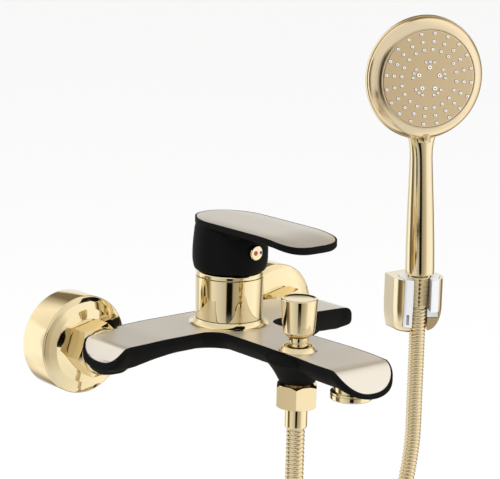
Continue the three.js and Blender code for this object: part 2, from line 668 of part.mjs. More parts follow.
// Nozzle centres on the spray face and their radii: three rings of jets in line with
// each other, and five wide jets with three fine ones outside each.
function nozzleSpots() {
  const spots = [];
  const at = (r, deg, size) => {
    const a = (deg * Math.PI) / 180;
    spots.push([r * Math.sin(a), r * Math.cos(a), size]);
  };
  [30, 24.7, 19.4].forEach((r) => {
    for (let i = 0; i < 20; i += 1) at(r, 7 + 18 * i, 0.95);
  });
  for (let k = 0; k < 5; k += 1) {
    at(7.6, 3 + 72 * k, 1.35);
    [-15, 0, 15].forEach((d) => at(11.3, 3 + 72 * k + d, 0.8));
  }
  return spots;
}

// One short four sided peg across the face per nozzle.
function facePegs(grow, y0, y1) {
  return nozzleSpots().map(([x, z, r]) => {
    const g = new THREE.CylinderGeometry(r + grow, r + grow, y1 - y0, 4);
    g.translate(x, -(y0 + y1) / 2, HEAD_UP + z);
    return toSolid(g);
  });
}

function sprayFace() {
  let face = head([[0, 11], [31.9, 11], [31.9, 12.1], [0, 12.1]], 28);
  facePegs(0.42, 10, 14).forEach((peg) => { face = face.subtract(peg); });
  return placeHandset(face);
}

function nozzleMat() {
  let mat = head([[0, 9.6], [31.4, 9.6], [31.4, 10.7], [0, 10.7]], 20);
  facePegs(0, 10, 13).forEach((peg) => { mat = mat.add(peg); });
  return placeHandset(mat);
}

const sprayEngine = () => placeHandset(head([[0, 0.4], [20, 0.8], [31, 2.8], [31.6, 4], [31.6, 9.2],
  [0, 9.2]], 20));
const handsetNipple = () => placeHandset(turnedZ([[3.4, -7.4], [5.1, -7.4], [5.2, -7], [5.2, 12],
  [3.4, 12], [3.4, -7.4]], 0, 0, 16));
const handsetWasher = () => ring(3.4, 5.4, -2.5, -0.9, BORE[0], BORE[1], 14);

function hoseConeNut() {
  const [bx, by] = BORE;
  return turnedZ([[0, -15], [6, -15], [6.3, -14.6], [7.3, 4.6], [7, 5.3], [0, 5.3]], bx, by, 28)
    .subtract(rod(5.8, -2.8, 9, bx, by, 20))
    .subtract(rod(3.4, -20, 9, bx, by, 14));
}

// ---------------------------------------------------------------- hose
// The coil hangs upright between the outlet and the holder on the hose's own two runs.
const COIL = [97, -79.5, -258];  // middle of the coil
const COIL_R = 64;               // radius at the middle of its turns
const COIL_W = 19.6;             // half of its width over the turns
const COIL_TURN = Math.atan2(BORE[1] - DY, BORE[0] - DX);
const coilPoint = (u, w, z) => [COIL[0] + u * Math.cos(COIL_TURN) - w * Math.sin(COIL_TURN),
  COIL[1] + u * Math.sin(COIL_TURN) + w * Math.cos(COIL_TURN), z];
const HOSE_OUT = [[DX, DY, -33.9], [DX, DY, -60], [DX, DY, -84], coilPoint(-115, -4, -116),
  coilPoint(-99, -8, -152), coilPoint(-80, -11, -190), coilPoint(-67, -13.4, -226),
  coilPoint(-COIL_R, -14, -258)];
const HOSE_BACK = [coilPoint(COIL_R, 14, -258), coilPoint(66, 13.6, -234), coilPoint(76, 11.5, -204),
  coilPoint(95, 7.5, -172), coilPoint(112, 3, -144), coilPoint(119.6, 0.6, -112),
  [BORE[0], BORE[1], -80], [BORE[0], BORE[1], -48], [BORE[0], BORE[1], -15.3]];

function coilRing(grow) {
  const [r0, r1, w] = [COIL_R - 5.8 - grow, COIL_R + 5.8 + grow, COIL_W + grow];
  const g = new THREE.LatheGeometry([[r0, -w], [r1, -w], [r1, w], [r0, w], [r0, -w]]
    .map((p) => new THREE.Vector2(...p)), 28);
  g.rotateZ(COIL_TURN);
  g.translate(...COIL);
  return toSolid(g);
}

// Plain tube along a route, cut back where it joins the coil.
function hoseTube(route, steps) {
  const curve = new THREE.CatmullRomCurve3(route.map((p) => new THREE.Vector3(...p)));
  const shape = new THREE.Shape(Array.from({ length: 8 }, (_, i) => {
    const a = (i * Math.PI) / 4;
    return new THREE.Vector2((HOSE_D / 2) * Math.cos(a), (HOSE_D / 2) * Math.sin(a));
  }));
  const tube = toSolid(new THREE.ExtrudeGeometry(shape, {
    steps, extrudePath: curve, bevelEnabled: false,
  }));
  return tube.subtract(coilRing(GAP));
}

// ---------------------------------------------------------------- assembly
const COLOURS = {
  gold: [0xd9b36a, 0.25, 1], satin: [0xded6c8, 0.35, 0.6], black: [0x141414, 0.4, 0.1],
  brass: [0xb08d3e, 0.4, 1], rubber: [0x1c1c1c, 0.9, 0], white: [0xf2f2f2, 0.6, 0],
  plastic: [0xd2d4d8, 0.5, 0], ceramic: [0xe8e4da, 0.3, 0], steel: [0xc0c0c4, 0.35, 1],
  red: [0xc81e1e, 0.4, 0], blue: [0x1e4bc8, 0.4, 0],
};

const group = new THREE.Group();
group.name = 'wall_bath_mixer';

function put(name, solid, colour) {
  const [hex, roughness, metalness] = COLOURS[colour];
  const material = new THREE.MeshStandardMaterial({ color: hex, roughness, metalness });
  material.name = `${name}_${colour}`;
  const mesh = new THREE.Mesh(toGeometry(solid), material);
  mesh.name = name;
  group.add(mesh);
}

put('mixer_body', mixerBody(), 'black');
put('body_top_plate', topPlate(), 'satin');
[['left', -1], ['right', 1]].forEach(([side, sign]) => {
  put(`wall_flange_${side}`, wallFlange(sign), 'gold');
  put(`inlet_connector_${side}`, connector(sign), 'brass');
  put(`union_nut_${side}`, unionNut(sign), 'gold');
  put(`inlet_washer_${side}`, ringY(7.6, 12.8, 32.5, 34, sign * INLET_X, 0, 16), 'rubber');
  put(`inlet_tail_${side}`, inletTail(sign), 'gold');
});
put('cartridge_sleeve', sleeve(), 'gold');
put('sleeve_trim_ring', trimRing(), 'gold');
put('cartridge_lock_nut', lockNut(), 'brass');
put('cartridge_housing', cartridgeHousing(), 'plastic');
put('cartridge_seal', cartridgeSeal(), 'rubber');
put('cartridge_fixed_disc', fixedDisc(), 'ceramic');
put('cartridge_moving_disc', movingDisc(), 'ceramic');
put('cartridge_stem_carrier', stemCarrier(), 'plastic');
put('cartridge_pivot_pin', pivotPin(), 'steel');
put('lever_stem', leverStem(), 'brass');
put('lever_body', leverBody(), 'black');
put('lever_top_plate', leverPlate(), 'satin');
put('lever_grub_screw', grubScrew(), 'steel');
put('indicator_button', indicator(), 'gold');
put('indicator_hot', indicatorDot(DOTS.hot), 'red');
put('indicator_cold', indicatorDot(DOTS.cold), 'blue');
put('diverter_collar', diverterCollar(), 'gold');
put('diverter_knob', diverterKnob(), 'gold');
put('diverter_stem', diverterStem(), 'gold');
put('diverter_seal', diverterRing(), 'rubber');
put('outlet_nipple', outletNipple(), 'brass');
put('outlet_washer', outletWasher(), 'rubber');
put('hose_nut', hoseNut(), 'gold');
put('outlet_ferrule', outletFerrule(), 'gold');
put('aerator_housing', aeratorHousing(), 'gold');
put('aerator_insert', aeratorInsert(), 'plastic');
put('aerator_gasket', aeratorGasket(), 'rubber');
put('holder_shell', holderShell(), 'gold');
put('holder_liner', holderLiner(), 'plastic');
put('holder_screw', holderScrew(), 'steel');
put('handset_shell', handsetShell(), 'gold');
put('handset_nipple', handsetNipple(), 'brass');
put('handset_washer', handsetWasher(), 'rubber');
put('spray_engine', sprayEngine(), 'plastic');
put('spray_bezel', sprayBezel(), 'gold');
put('spray_face', sprayFace(), 'gold');
put('spray_nozzle_mat', nozzleMat(), 'white');
put('hose_cone_nut', hoseConeNut(), 'gold');
put('hose_outlet_run', hoseTube(HOSE_OUT, 9), 'gold');
put('hose_coil', coilRing(0), 'gold');
put('hose_return_run', hoseTube(HOSE_BACK, 10), 'gold');

export default group;
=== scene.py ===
"""Looks of a wall mounted bath mixer with hose, hand shower and holder.

Lengths are written in millimetres in the frame of the CAD part and turned into metres by MM.
"""

import json
import math

import bmesh
import bpy
from mathutils import Matrix, Vector


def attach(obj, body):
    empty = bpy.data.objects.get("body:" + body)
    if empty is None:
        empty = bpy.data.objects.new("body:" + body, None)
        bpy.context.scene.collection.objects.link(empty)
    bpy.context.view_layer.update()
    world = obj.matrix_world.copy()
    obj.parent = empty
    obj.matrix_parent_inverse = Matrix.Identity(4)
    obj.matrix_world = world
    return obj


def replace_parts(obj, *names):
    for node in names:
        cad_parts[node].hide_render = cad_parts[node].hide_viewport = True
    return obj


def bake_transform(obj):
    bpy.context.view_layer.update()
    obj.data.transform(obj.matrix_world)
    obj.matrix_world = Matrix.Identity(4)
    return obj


MM = 0.001
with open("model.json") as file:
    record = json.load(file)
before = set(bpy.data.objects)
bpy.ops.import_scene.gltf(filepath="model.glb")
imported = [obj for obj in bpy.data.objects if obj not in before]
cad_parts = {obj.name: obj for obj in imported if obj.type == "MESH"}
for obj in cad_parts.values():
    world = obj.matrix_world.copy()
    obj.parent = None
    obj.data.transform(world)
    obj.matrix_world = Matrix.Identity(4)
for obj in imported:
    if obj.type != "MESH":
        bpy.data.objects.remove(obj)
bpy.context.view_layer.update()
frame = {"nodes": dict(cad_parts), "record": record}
SCENE = bpy.context.scene
SCENE.view_settings.view_transform = "Standard"

# ------------------------------------------------------------------ main places, mm
TOP_Z = 12.3                    # top of the body ribbon
TOWER = (0, -64)                # cartridge axis
FLARE_R = 24.3                  # polished foot of the tower on the ribbon
FLOOR_Z = -0.5                  # metres
DIVERTER = (-9, -137)           # diverter and hose outlet axis
AERATOR = (0, -173)
INLET_X = 75
CORNER = (19.8, -76)            # where the side of the spout meets the front of an arm
CORNER_R = 11
HOLDER = (202, -22)             # axis of the hand shower in its holder
SLOT_YAW = math.radians(-35)    # turn of the holder's slot from straight out
HANDLE_Z = 7
HEAD_UP = 133.5                 # head centre above the underside of the handle
HEAD_YAW = math.radians(-23)
LEAN = Vector((0, 0, 1)).rotation_difference(Vector((-0.0225, 0.0193, 1)))
LEVER_Z = 76.1
HOSE_D = 11
RIB = 2.5                       # pitch of the hose's ribs


# ------------------------------------------------------------------ camera
def add_camera():
    azimuth, pitch, roll = (math.radians(a) for a in (40.58, 12.25, 1.49))
    forward = Vector((math.sin(azimuth) * math.cos(pitch), math.cos(azimuth) * math.cos(pitch),
                      -math.sin(pitch)))
    right = forward.cross(Vector((0, 0, 1))).normalized()
    up = right.cross(forward)
    x = math.cos(roll) * right + math.sin(roll) * up
    y = -math.sin(roll) * right + math.cos(roll) * up
    data = bpy.data.cameras.new("camera")
    data.sensor_fit = "HORIZONTAL"
    data.sensor_width = 36
    data.lens = 158.4
    camera = bpy.data.objects.new("camera", data)
    camera.matrix_world = Matrix.Translation((-0.8224, -1.0419, 0.3403)) @ Matrix(
        (x, y, -forward)).transposed().to_4x4()
    SCENE.collection.objects.link(camera)
    SCENE.camera = camera


# ------------------------------------------------------------------ materials
def shader(name, colour, rough, metallic=0.0, spread=0.05, grain=140.0, bump=0.0, tint=0.06,
           coat=0.0, specular=0.5):
    """Principled material whose colour, roughness and relief follow one fine noise."""
    material = bpy.data.materials.new(name)
    material.use_nodes = True
    tree = material.node_tree
    principled = tree.nodes["Principled BSDF"]
    principled.inputs["Metallic"].default_value = metallic
    principled.inputs["Coat Weight"].default_value = coat
    principled.inputs["Coat Roughness"].default_value = 0.08
    principled.inputs["Specular IOR Level"].default_value = specular

    def node(kind, **values):
        made = tree.nodes.new(kind)
        for key, value in values.items():
            setattr(made, key, value)
        return made

    place = node("ShaderNodeTexCoord")
    noise = node("ShaderNodeTexNoise")
    noise.inputs["Scale"].default_value = grain
    noise.inputs["Detail"].default_value = 5
    broad = node("ShaderNodeTexNoise")
    broad.inputs["Scale"].default_value = 18
    broad.inputs["Detail"].default_value = 2
    roughness = node("ShaderNodeMapRange")
    roughness.inputs["To Min"].default_value = max(0.02, rough - spread)
    roughness.inputs["To Max"].default_value = rough + spread
    mix = node("ShaderNodeMix", data_type="RGBA")
    mix.inputs["A"].default_value = (*[c * (1 - tint) for c in colour], 1)
    mix.inputs["B"].default_value = (*[min(1, c * (1 + tint)) for c in colour], 1)
    link = tree.links.new
    link(place.outputs["Object"], noise.inputs["Vector"])
    link(place.outputs["Object"], broad.inputs["Vector"])
    link(noise.outputs["Fac"], roughness.inputs["Value"])
    link(roughness.outputs["Result"], principled.inputs["Roughness"])
    link(broad.outputs["Fac"], mix.inputs["Factor"])
    link(mix.outputs["Result"], principled.inputs["Base Color"])
    if bump:
        relief = node("ShaderNodeBump")
        relief.inputs["Strength"].default_value = bump
        relief.inputs["Distance"].default_value = 0.0002
        link(noise.outputs["Fac"], relief.inputs["Height"])
        link(relief.outputs["Normal"], principled.inputs["Normal"])
    return material


LOOK = {
    "polished_gold": shader("polished_gold", (0.87, 0.74, 0.47), 0.06, 1, 0.03, 220, tint=0.03),
    "satin_gold": shader("satin_gold", (0.80, 0.75, 0.67), 0.34, 0.75, 0.05, 500, 0.05, 0.02),
    "plated_plastic": shader("plated_plastic", (0.85, 0.73, 0.49), 0.11, 1, 0.03, 220, tint=0.03),
    "rim_gold": shader("rim_gold", (0.86, 0.72, 0.49), 0.2, 1, 0.03, 300, tint=0.03),
    "spray_gold": shader("spray_gold", (0.88, 0.72, 0.48), 0.3, 1, 0.04, 420, 0.04, tint=0.03),
    "hose_gold": shader("hose_gold", (0.80, 0.68, 0.45), 0.22, 1, 0.06, 300, tint=0.06),
    "black_coat": shader("black_coat", (0.0045, 0.0045, 0.0046), 0.55, 0, 0.05, 900, 0.08, 0.1,
                         specular=0.06),
    "plain_brass": shader("plain_brass", (0.60, 0.44, 0.18), 0.32, 1, 0.1, 240, 0.1),
    "steel": shader("steel", (0.55, 0.55, 0.57), 0.28, 1, 0.08, 260, 0.05),
    "rubber_black": shader("rubber_black", (0.02, 0.02, 0.021), 0.8, 0, 0.1, 600, 0.2),
    "plastic_grey": shader("plastic_grey", (0.74, 0.75, 0.77), 0.16, 0, 0.04, 420, coat=0.6,
                           tint=0.03),
    "plastic_white": shader("plastic_white", (0.86, 0.86, 0.85), 0.55, 0, 0.06, 700, 0.08),
    "plastic_hidden": shader("plastic_hidden", (0.3, 0.3, 0.32), 0.5, 0, 0.1, 380, 0.1),
    "ceramic_disc": shader("ceramic_disc", (0.75, 0.73, 0.68), 0.15, 0, 0.04, 300),
    "enamel_red": shader("enamel_red", (0.65, 0.015, 0.015), 0.2, 0, 0.04, 300, coat=0.5),
    "enamel_blue": shader("enamel_blue", (0.02, 0.07, 0.6), 0.2, 0, 0.04, 300, coat=0.5),
    "tie_strap": shader("tie_strap", (0.02, 0.02, 0.022), 0.85, 0, 0.1, 1500, 0.5),
}


def dress_cad_nodes():
    for entry in frame["record"]["subparts"]:
        node = frame["nodes"][entry["node"]]
        node.data.materials.clear()
        node.data.materials.append(LOOK[entry["material_slot"]])


# ------------------------------------------------------------------ mesh helpers
def link_mesh(name, verts, faces, look, body, slot=None, sharp=32):
    """Object from millimetre vertices, smooth shaded with crisp edges, riding on a body."""
    mesh = bpy.data.meshes.new(name)
    mesh.from_pydata([Vector(v) * MM for v in verts], [], faces)
    mesh.validate()
    return finish_mesh(name, mesh, look, body, sharp)


def finish_mesh(name, mesh, look, body, sharp=32):
    made = bmesh.new()
    made.from_mesh(mesh)
    bmesh.ops.remove_doubles(made, verts=made.verts, dist=1e-6)
    bmesh.ops.recalc_face_normals(made, faces=made.faces)
    made.to_mesh(mesh)
    made.free()
    for face in mesh.polygons:
        face.use_smooth = True
    mesh.set_sharp_from_angle(angle=math.radians(sharp))
    mesh.materials.append(LOOK[look])
    thing = bpy.data.objects.new(name, mesh)
    SCENE.collection.objects.link(thing)
    if body:
        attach(thing, body)
    return thing


def softened(profile, radius, steps=4):
    """Profile with every inner corner rounded by short arcs."""
    out = [profile[0]]
    for before, here, after in zip(profile, profile[1:], profile[2:]):
        p, a, b = Vector(here), Vector(before), Vector(after)
        r = min(radius, (a - p).length * 0.45, (b - p).length * 0.45)
        if r < 0.02:
            out.append(tuple(p))
            continue
        start, end = p + (a - p).normalized() * r, p + (b - p).normalized() * r
        for i in range(steps + 1):
            t = i / steps
            out.append(tuple((1 - t) ** 2 * start + 2 * t * (1 - t) * p + t * t * end))
    out.append(profile[-1])
    return out


def turned_data(profile, seg, place):
    """Vertices and faces of a turned piece; place maps (radius, height, angle) to a point."""
    verts, faces, rings = [], [], []
    for radius, height in profile:
        if radius < 1e-4:
            rings.append([len(verts)])
            verts.append(place(0, height, 0))
        else:
            rings.append(list(range(len(verts), len(verts) + seg)))
            verts += [place(radius, height, 2 * math.pi * i / seg) for i in range(seg)]
    for a, b in zip(rings, rings[1:]):
        for i in range(seg):
            j = (i + 1) % seg
            if len(a) == 1 and len(b) == 1:
                continue
            if len(a) == 1:
                faces.append((a[0], b[i], b[j]))
            elif len(b) == 1:
                faces.append((a[i], b[0], a[j]))
            else:
                faces.append((a[i], b[i], b[j], a[j]))
    return verts, faces


def along_z(x, y):
    return lambda r, h, a: (x + r * math.cos(a), y + r * math.sin(a), h)


def along_y(x, z=0):
    return lambda r, h, a: (x + r * math.cos(a), -h, z + r * math.sin(a))


def head_point(x, y, z):
    """Point of the hand shower's own frame, turned and lifted into its holder."""
    c, s = math.cos(HEAD_YAW), math.sin(HEAD_YAW)
    return tuple(LEAN @ Vector((x * c - y * s, x * s + y * c, z)) + Vector((*HOLDER, HANDLE_Z)))


def on_head(r, h, a):
    return head_point(r * math.cos(a), -h, HEAD_UP + r * math.sin(a))


def turned(name, profile, place, look, body, seg=96, soft=0.3, **more):
    verts, faces = turned_data(softened(profile, soft), seg, place)
    return link_mesh(name, verts, faces, look, body, **more)


def loft_data(rings):
    """Skin through rings of equal length, with one flat face on both ends."""
    n = len(rings[0])
    verts = [p for ring in rings for p in ring]
    faces = []
    for k in range(len(rings) - 1):
        for i in range(n):
            j = (i + 1) % n
            faces.append((k * n + i, k * n + j, (k + 1) * n + j, (k + 1) * n + i))
    last = (len(rings) - 1) * n
    faces.append(tuple(range(n))[::-1])
    faces.append(tuple(range(last, last + n)))
    return verts, faces


def shape(verts, faces):
    """Scratch object for cutting and joining; it is never left in the scene."""
    mesh = bpy.data.meshes.new("scratch")
    mesh.from_pydata([Vector(v) * MM for v in verts], [], faces)
    made = bmesh.new()
    made.from_mesh(mesh)
    bmesh.ops.remove_doubles(made, verts=made.verts, dist=1e-7)
    bmesh.ops.recalc_face_normals(made, faces=made.faces)
    made.to_mesh(mesh)
    made.free()
    thing = bpy.data.objects.new("scratch", mesh)
    SCENE.collection.objects.link(thing)
    return thing


def joined(first, others, operation):
    """Applies one exact cut or union after another and drops the tools."""
    for tool in others:
        step = first.modifiers.new("step", "BOOLEAN")
        step.operation, step.object, step.solver = operation, tool, "EXACT"
        bpy.context.view_layer.update()
        graph = bpy.context.evaluated_depsgraph_get()
        result = bpy.data.meshes.new_from_object(first.evaluated_get(graph))
        first.modifiers.clear()
        first.data = result
        bpy.data.objects.remove(tool)
    return first


def edged(thing, width, segments=3, angle=35):
    """Rounded edges, applied, so that they catch a thin light."""
    step = thing.modifiers.new("edges", "BEVEL")
    step.width, step.segments, step.limit_method = width * MM, segments, "ANGLE"
    step.angle_limit = math.radians(angle)
    step.harden_normals = False
    bpy.context.view_layer.update()
    graph = bpy.context.evaluated_depsgraph_get()
    thing.data = bpy.data.meshes.new_from_object(thing.evaluated_get(graph))
    thing.modifiers.clear()
    return thing


def promote(thing, name, look, body, sharp=32):
    """Turns a scratch object into a named piece."""
    mesh = thing.data.copy()
    bpy.data.objects.remove(thing)
    mesh.materials.clear()
    mesh.name = name
    return finish_mesh(name, mesh, look, body, sharp)


def cylinder(r, z0, z1, x, y, seg=72):
    return shape(*turned_data([(0, z0), (r, z0), (r, z1), (0, z1)], seg, along_z(x, y)))


def cylinder_y(r, y0, y1, x, z, seg=72):
    return shape(*turned_data([(0, y0), (r, y0), (r, y1), (0, y1)], seg, along_y(x, z)))


def block(x0, x1, y0, y1, z0, z1):
    return shape(*loft_data([[(x0, y0, z), (x1, y0, z), (x1, y1, z), (x0, y1, z)]
                             for z in (z0, z1)]))


def table(rows, x):
    for (a, u), (b, v) in zip(rows, rows[1:]):
        if x <= b:
            t = min(1, max(0, (x - a) / (b - a)))
            return u + (v - u) * t
    return rows[-1][1]


def eased(rows, x):
    """As table, with the slope rounded between the rows."""
    return sum(table(rows, x + d) for d in (-3, -1.5, 0, 1.5, 3)) / 5


# ------------------------------------------------------------------ hose
def coil_point(u, w, z):
    a = math.atan2(HOLDER[1] - DIVERTER[1], HOLDER[0] - DIVERTER[0])
    return (97 + u * math.cos(a) - w * math.sin(a), -79.5 + u * math.sin(a) + w * math.cos(a), z)


def hose_route():
    """Listed points down from the outlet, the coil's turns, and up to the holder."""
    x, y = DIVERTER
    bx, by = HOLDER
    out = [(x, y, -33.9), (x, y, -60), (x, y, -84), coil_point(-115, -4, -116),
           coil_point(-99, -8, -152), coil_point(-80, -11, -190), coil_point(-67, -13.4, -226),
           coil_point(-64, -14, -258)]
    turns = []
    steps = 60
    for i in range(1, steps):
        a = math.pi + 5 * math.pi * i / steps
        turns.append(coil_point(64 * math.cos(a), -14 + 28 * i / steps, -258 + 64 * math.sin(a)))
    back = [coil_point(64, 14, -258), coil_point(66, 13.6, -234), coil_point(76, 11.5, -204),
            coil_point(95, 7.5, -172), coil_point(112, 3, -144), coil_point(119.6, 0.6, -112),
            (bx, by, -80), (bx, by, -48), (bx, by, -15.3)]
    return [Vector(p) for p in out + turns + back]


def smooth_line(points, step):
    """Centripetal curve through the points, walked in equal steps."""
    ends = [points[0] * 2 - points[1], *points, points[-1] * 2 - points[-2]]
    fine = []
    for p0, p1, p2, p3 in zip(ends, ends[1:], ends[2:], ends[3:]):
        t0 = 0
        t1 = t0 + (p1 - p0).length ** 0.5
        t2 = t1 + (p2 - p1).length ** 0.5
        t3 = t2 + (p3 - p2).length ** 0.5
        for i in range(24):
            t = t1 + (t2 - t1) * i / 24
            a1 = p0 * ((t1 - t) / (t1 - t0)) + p1 * ((t - t0) / (t1 - t0))
            a2 = p1 * ((t2 - t) / (t2 - t1)) + p2 * ((t - t1) / (t2 - t1))
            a3 = p2 * ((t3 - t) / (t3 - t2)) + p3 * ((t - t2) / (t3 - t2))
            b1 = a1 * ((t2 - t) / (t2 - t0)) + a2 * ((t - t0) / (t2 - t0))
            b2 = a2 * ((t3 - t) / (t3 - t1)) + a3 * ((t - t1) / (t3 - t1))
            fine.append(b1 * ((t2 - t) / (t2 - t1)) + b2 * ((t - t1) / (t2 - t1)))
    fine.append(points[-1])
    total = sum((b - a).length for a, b in zip(fine, fine[1:]))
    count = round(total / step)
    step = total / count
    line, walked, need = [fine[0]], 0.0, step
    for a, b in zip(fine, fine[1:]):
        span = (b - a).length
        while walked + span >= need - 1e-9 and len(line) < count:
            line.append(a.lerp(b, (need - walked) / span))
            need += step
        walked += span
    line.append(fine[-1])
    return line, total


def add_hose():
    """Metal hose: rounded ribs swept along the route as one closed skin."""
    line, total = smooth_line(hose_route(), RIB / 4)
    seg = 20
    verts, faces = [], []
    side = Vector((1, 0, 0))
    for k, p in enumerate(line):
        ahead = line[min(k + 1, len(line) - 1)] - line[max(k - 1, 0)]
        ahead.normalize()
        side = (side - ahead * side.dot(ahead)).normalized()
        other = ahead.cross(side)
        r = HOSE_D / 2 - (0.0, 0.18, 0.85, 0.18)[k % 4]
        for i in range(seg):
            a = 2 * math.pi * i / seg
            verts.append(tuple(p + side * (r * math.cos(a)) + other * (r * math.sin(a))))
    for k in range(len(line) - 1):
        for i in range(seg):
            j = (i + 1) % seg
            faces.append((k * seg + i, k * seg + j, (k + 1) * seg + j, (k + 1) * seg + i))
    faces.append(tuple(range(seg))[::-1])
    last = (len(line) - 1) * seg
    faces.append(tuple(range(last, last + seg)))
    hose = link_mesh("hose", verts, faces, "hose_gold", None, "polished_gold", sharp=80)
    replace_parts(hose, "hose_outlet_run", "hose_coil", "hose_return_run")
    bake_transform(hose)
    ties = [coil_tie(i, a) for i, a in enumerate((20, 90, 160))]
    print("hose length mm", round(total))


def coil_tie(index, degrees):
    """Strap with a lapped end round the bundle of turns."""
    a = math.radians(degrees)
    rings = []
    for k in range(48):
        b = 2 * math.pi * k / 48
        u = 6.6 * math.copysign(abs(math.cos(b)) ** 0.35, math.cos(b))
        w = 20.2 * math.copysign(abs(math.sin(b)) ** 0.2, math.sin(b))
        lap = 0.9 if 3 < k < 14 else 0.0
        ring = []
        for thick, along in ((0.0, -6), (1.1 + lap, -6), (1.1 + lap, 6), (0.0, 6)):
            r = 64 + u * (1 + thick / 6.6)
            turn = a + along / 64
            ring.append(coil_point(r * math.cos(turn), w * (1 + thick / 20.2),
                                   -258 + r * math.sin(turn)))
        rings.append(ring)
    verts = [p for ring in rings for p in ring]
    faces = []
    for k in range(48):
        for i in range(4):
            j, n = (i + 1) % 4, (k + 1) % 48
            faces.append((k * 4 + i, k * 4 + j, n * 4 + j, n * 4 + i))
    return link_mesh(f"hose_tie_{index}", verts, faces, "tie_strap", "mixer", "rubber_black", 40)


# ------------------------------------------------------------------ body
def tongue_rows(crease, tip, wide, power, z0, z1, sag, belly0, belly1, mid, steps=26):
    rows = []
    for i in range(steps):
        t = math.pi / 2 * (1 - (1 - i / steps) ** 1.7)
        s = math.sin(t) ** power
        w = wide * math.cos(t) ** power
        z = z0 + (z1 - z0) * (s + sag * s * (1 - s))
        rows.append((crease + (tip - crease) * s, w, z, belly0 + (belly1 - belly0) * s, mid))
    return rows


def arm_rows(inset, extra):
    rows = []
    for i in range(30):
        d = 85.0 * i / 30
        rows.append((d, eased([(0, 21.8), (40, 21.8), (55, 21.2), (67, 20.2), (80, 18.6),
                               (85.6, 17.8)], d) - inset,
                     table([(0, TOP_Z), (58, TOP_Z), (85.6, 11.2)], d),
                     eased([(0, -1.4), (45, -1.6), (60, -3.4), (74, -6), (86, -6)], d),
                     eased([(0, -54.2), (40, -54.3), (55, -55), (80, -57.2), (90, -57.9)], d)))
    return rows + tongue_rows(85.6, 92.8 + extra, 17.8 + extra * 0.8 - inset * 0.4, 0.71, 11.1,
                              -0.5 - extra * 1.4, -0.8, -6, -3.4, -57.9)


def spout_rows(inset, extra):
    rows = []
    for i in range(34):
        d = 44 + 134.5 * i / 34
        rows.append((d, eased([(44, 19.8), (100, 19.8), (130, 20.6), (165, 21.7), (179, 20.6)], d)
                     - inset, table([(44, TOP_Z), (150, TOP_Z), (179, 11.4)], d),
                     eased([(44, -1.4), (100, -2.2), (150, -2.6), (179, -3.2)], d), 0))
    return rows + tongue_rows(179, 191.6 + extra, 20.2 + extra * 0.6 - inset * 0.4, 0.83, 11.3,
                              -2.5 - extra * 1.3, -0.62, -3.2, -4.9, 0)


def casting_ring(row, place):
    _, w, top, belly, mid = row
    side = min(3.4, max(0.5, (top - belly) * 0.26))
    depth = top - side - belly
    ring = [place(mid + w, top), place(mid + w * 0.5, top), place(mid, top),
            place(mid - w * 0.5, top), place(mid - w, top)]
    for i in range(29):
        a = math.pi * i / 28
        ring.append(place(mid - w * math.cos(a), top - side - depth * math.sin(a)))
    return ring


def plate_ring(row, place, z0, z1):
    _, w, top, _, mid = row
    return [place(mid + w, top + z1), place(mid, top + z1), place(mid - w, top + z1),
            place(mid - w, top + z0), place(mid, top + z0), place(mid + w, top + z0)]


def branch_shapes(arms, spout, ring):
    """Both arms as one skin and the spout as another."""
    def arm(sign, row):
        return ring(row, lambda a, z: (sign * row[0], a, z))
    rings = [arm(-1, row) for row in reversed(arms)] + [arm(1, row) for row in arms[1:]]
    out = [ring(row, lambda a, z, d=row[0]: (a, -d, z)) for row in spout]
    return shape(*loft_data(rings)), shape(*loft_data(out))


def corner(sign, inset, z0, z1):
    """Flat filling of the rounded inner corner between an arm and the spout."""
    x, y, r = CORNER[0] - inset, CORNER[1] + inset, CORNER_R + inset
    plan = [(x - 3, y + 3), (x + r, y + 3)]
    for i in range(19):
        a = math.pi / 2 * i / 18
        plan.append((x + r * (1 - math.sin(a)), y - r * (1 - math.cos(a))))
    plan.append((x - 3, y - r))
    return shape(*loft_data([[(sign * px, py, z) for px, py in plan] for z in (z0, z1)]))


def corner_sweep(sign):
    """The casting's own side and half belly, swept round the inner corner."""
    side, depth = 3.4, TOP_Z - 3.4 + 1.4
    rings = []
    for k in range(19):
        turn = math.pi / 2 * k / 18
        w = 19.8 + 2 * k / 18
        ring = [(CORNER_R, TOP_Z)]
        for i in range(15):
            a = math.pi / 2 * i / 14
            ring.append((CORNER_R + w * (1 - math.cos(a)), TOP_Z - side - depth * math.sin(a)))
        ring.append((CORNER_R + w, TOP_Z))
        rings.append([(sign * (CORNER[0] + CORNER_R - r * math.cos(turn)),
                       CORNER[1] - CORNER_R + r * math.sin(turn), z) for r, z in ring])
    return shape(*loft_data(rings))


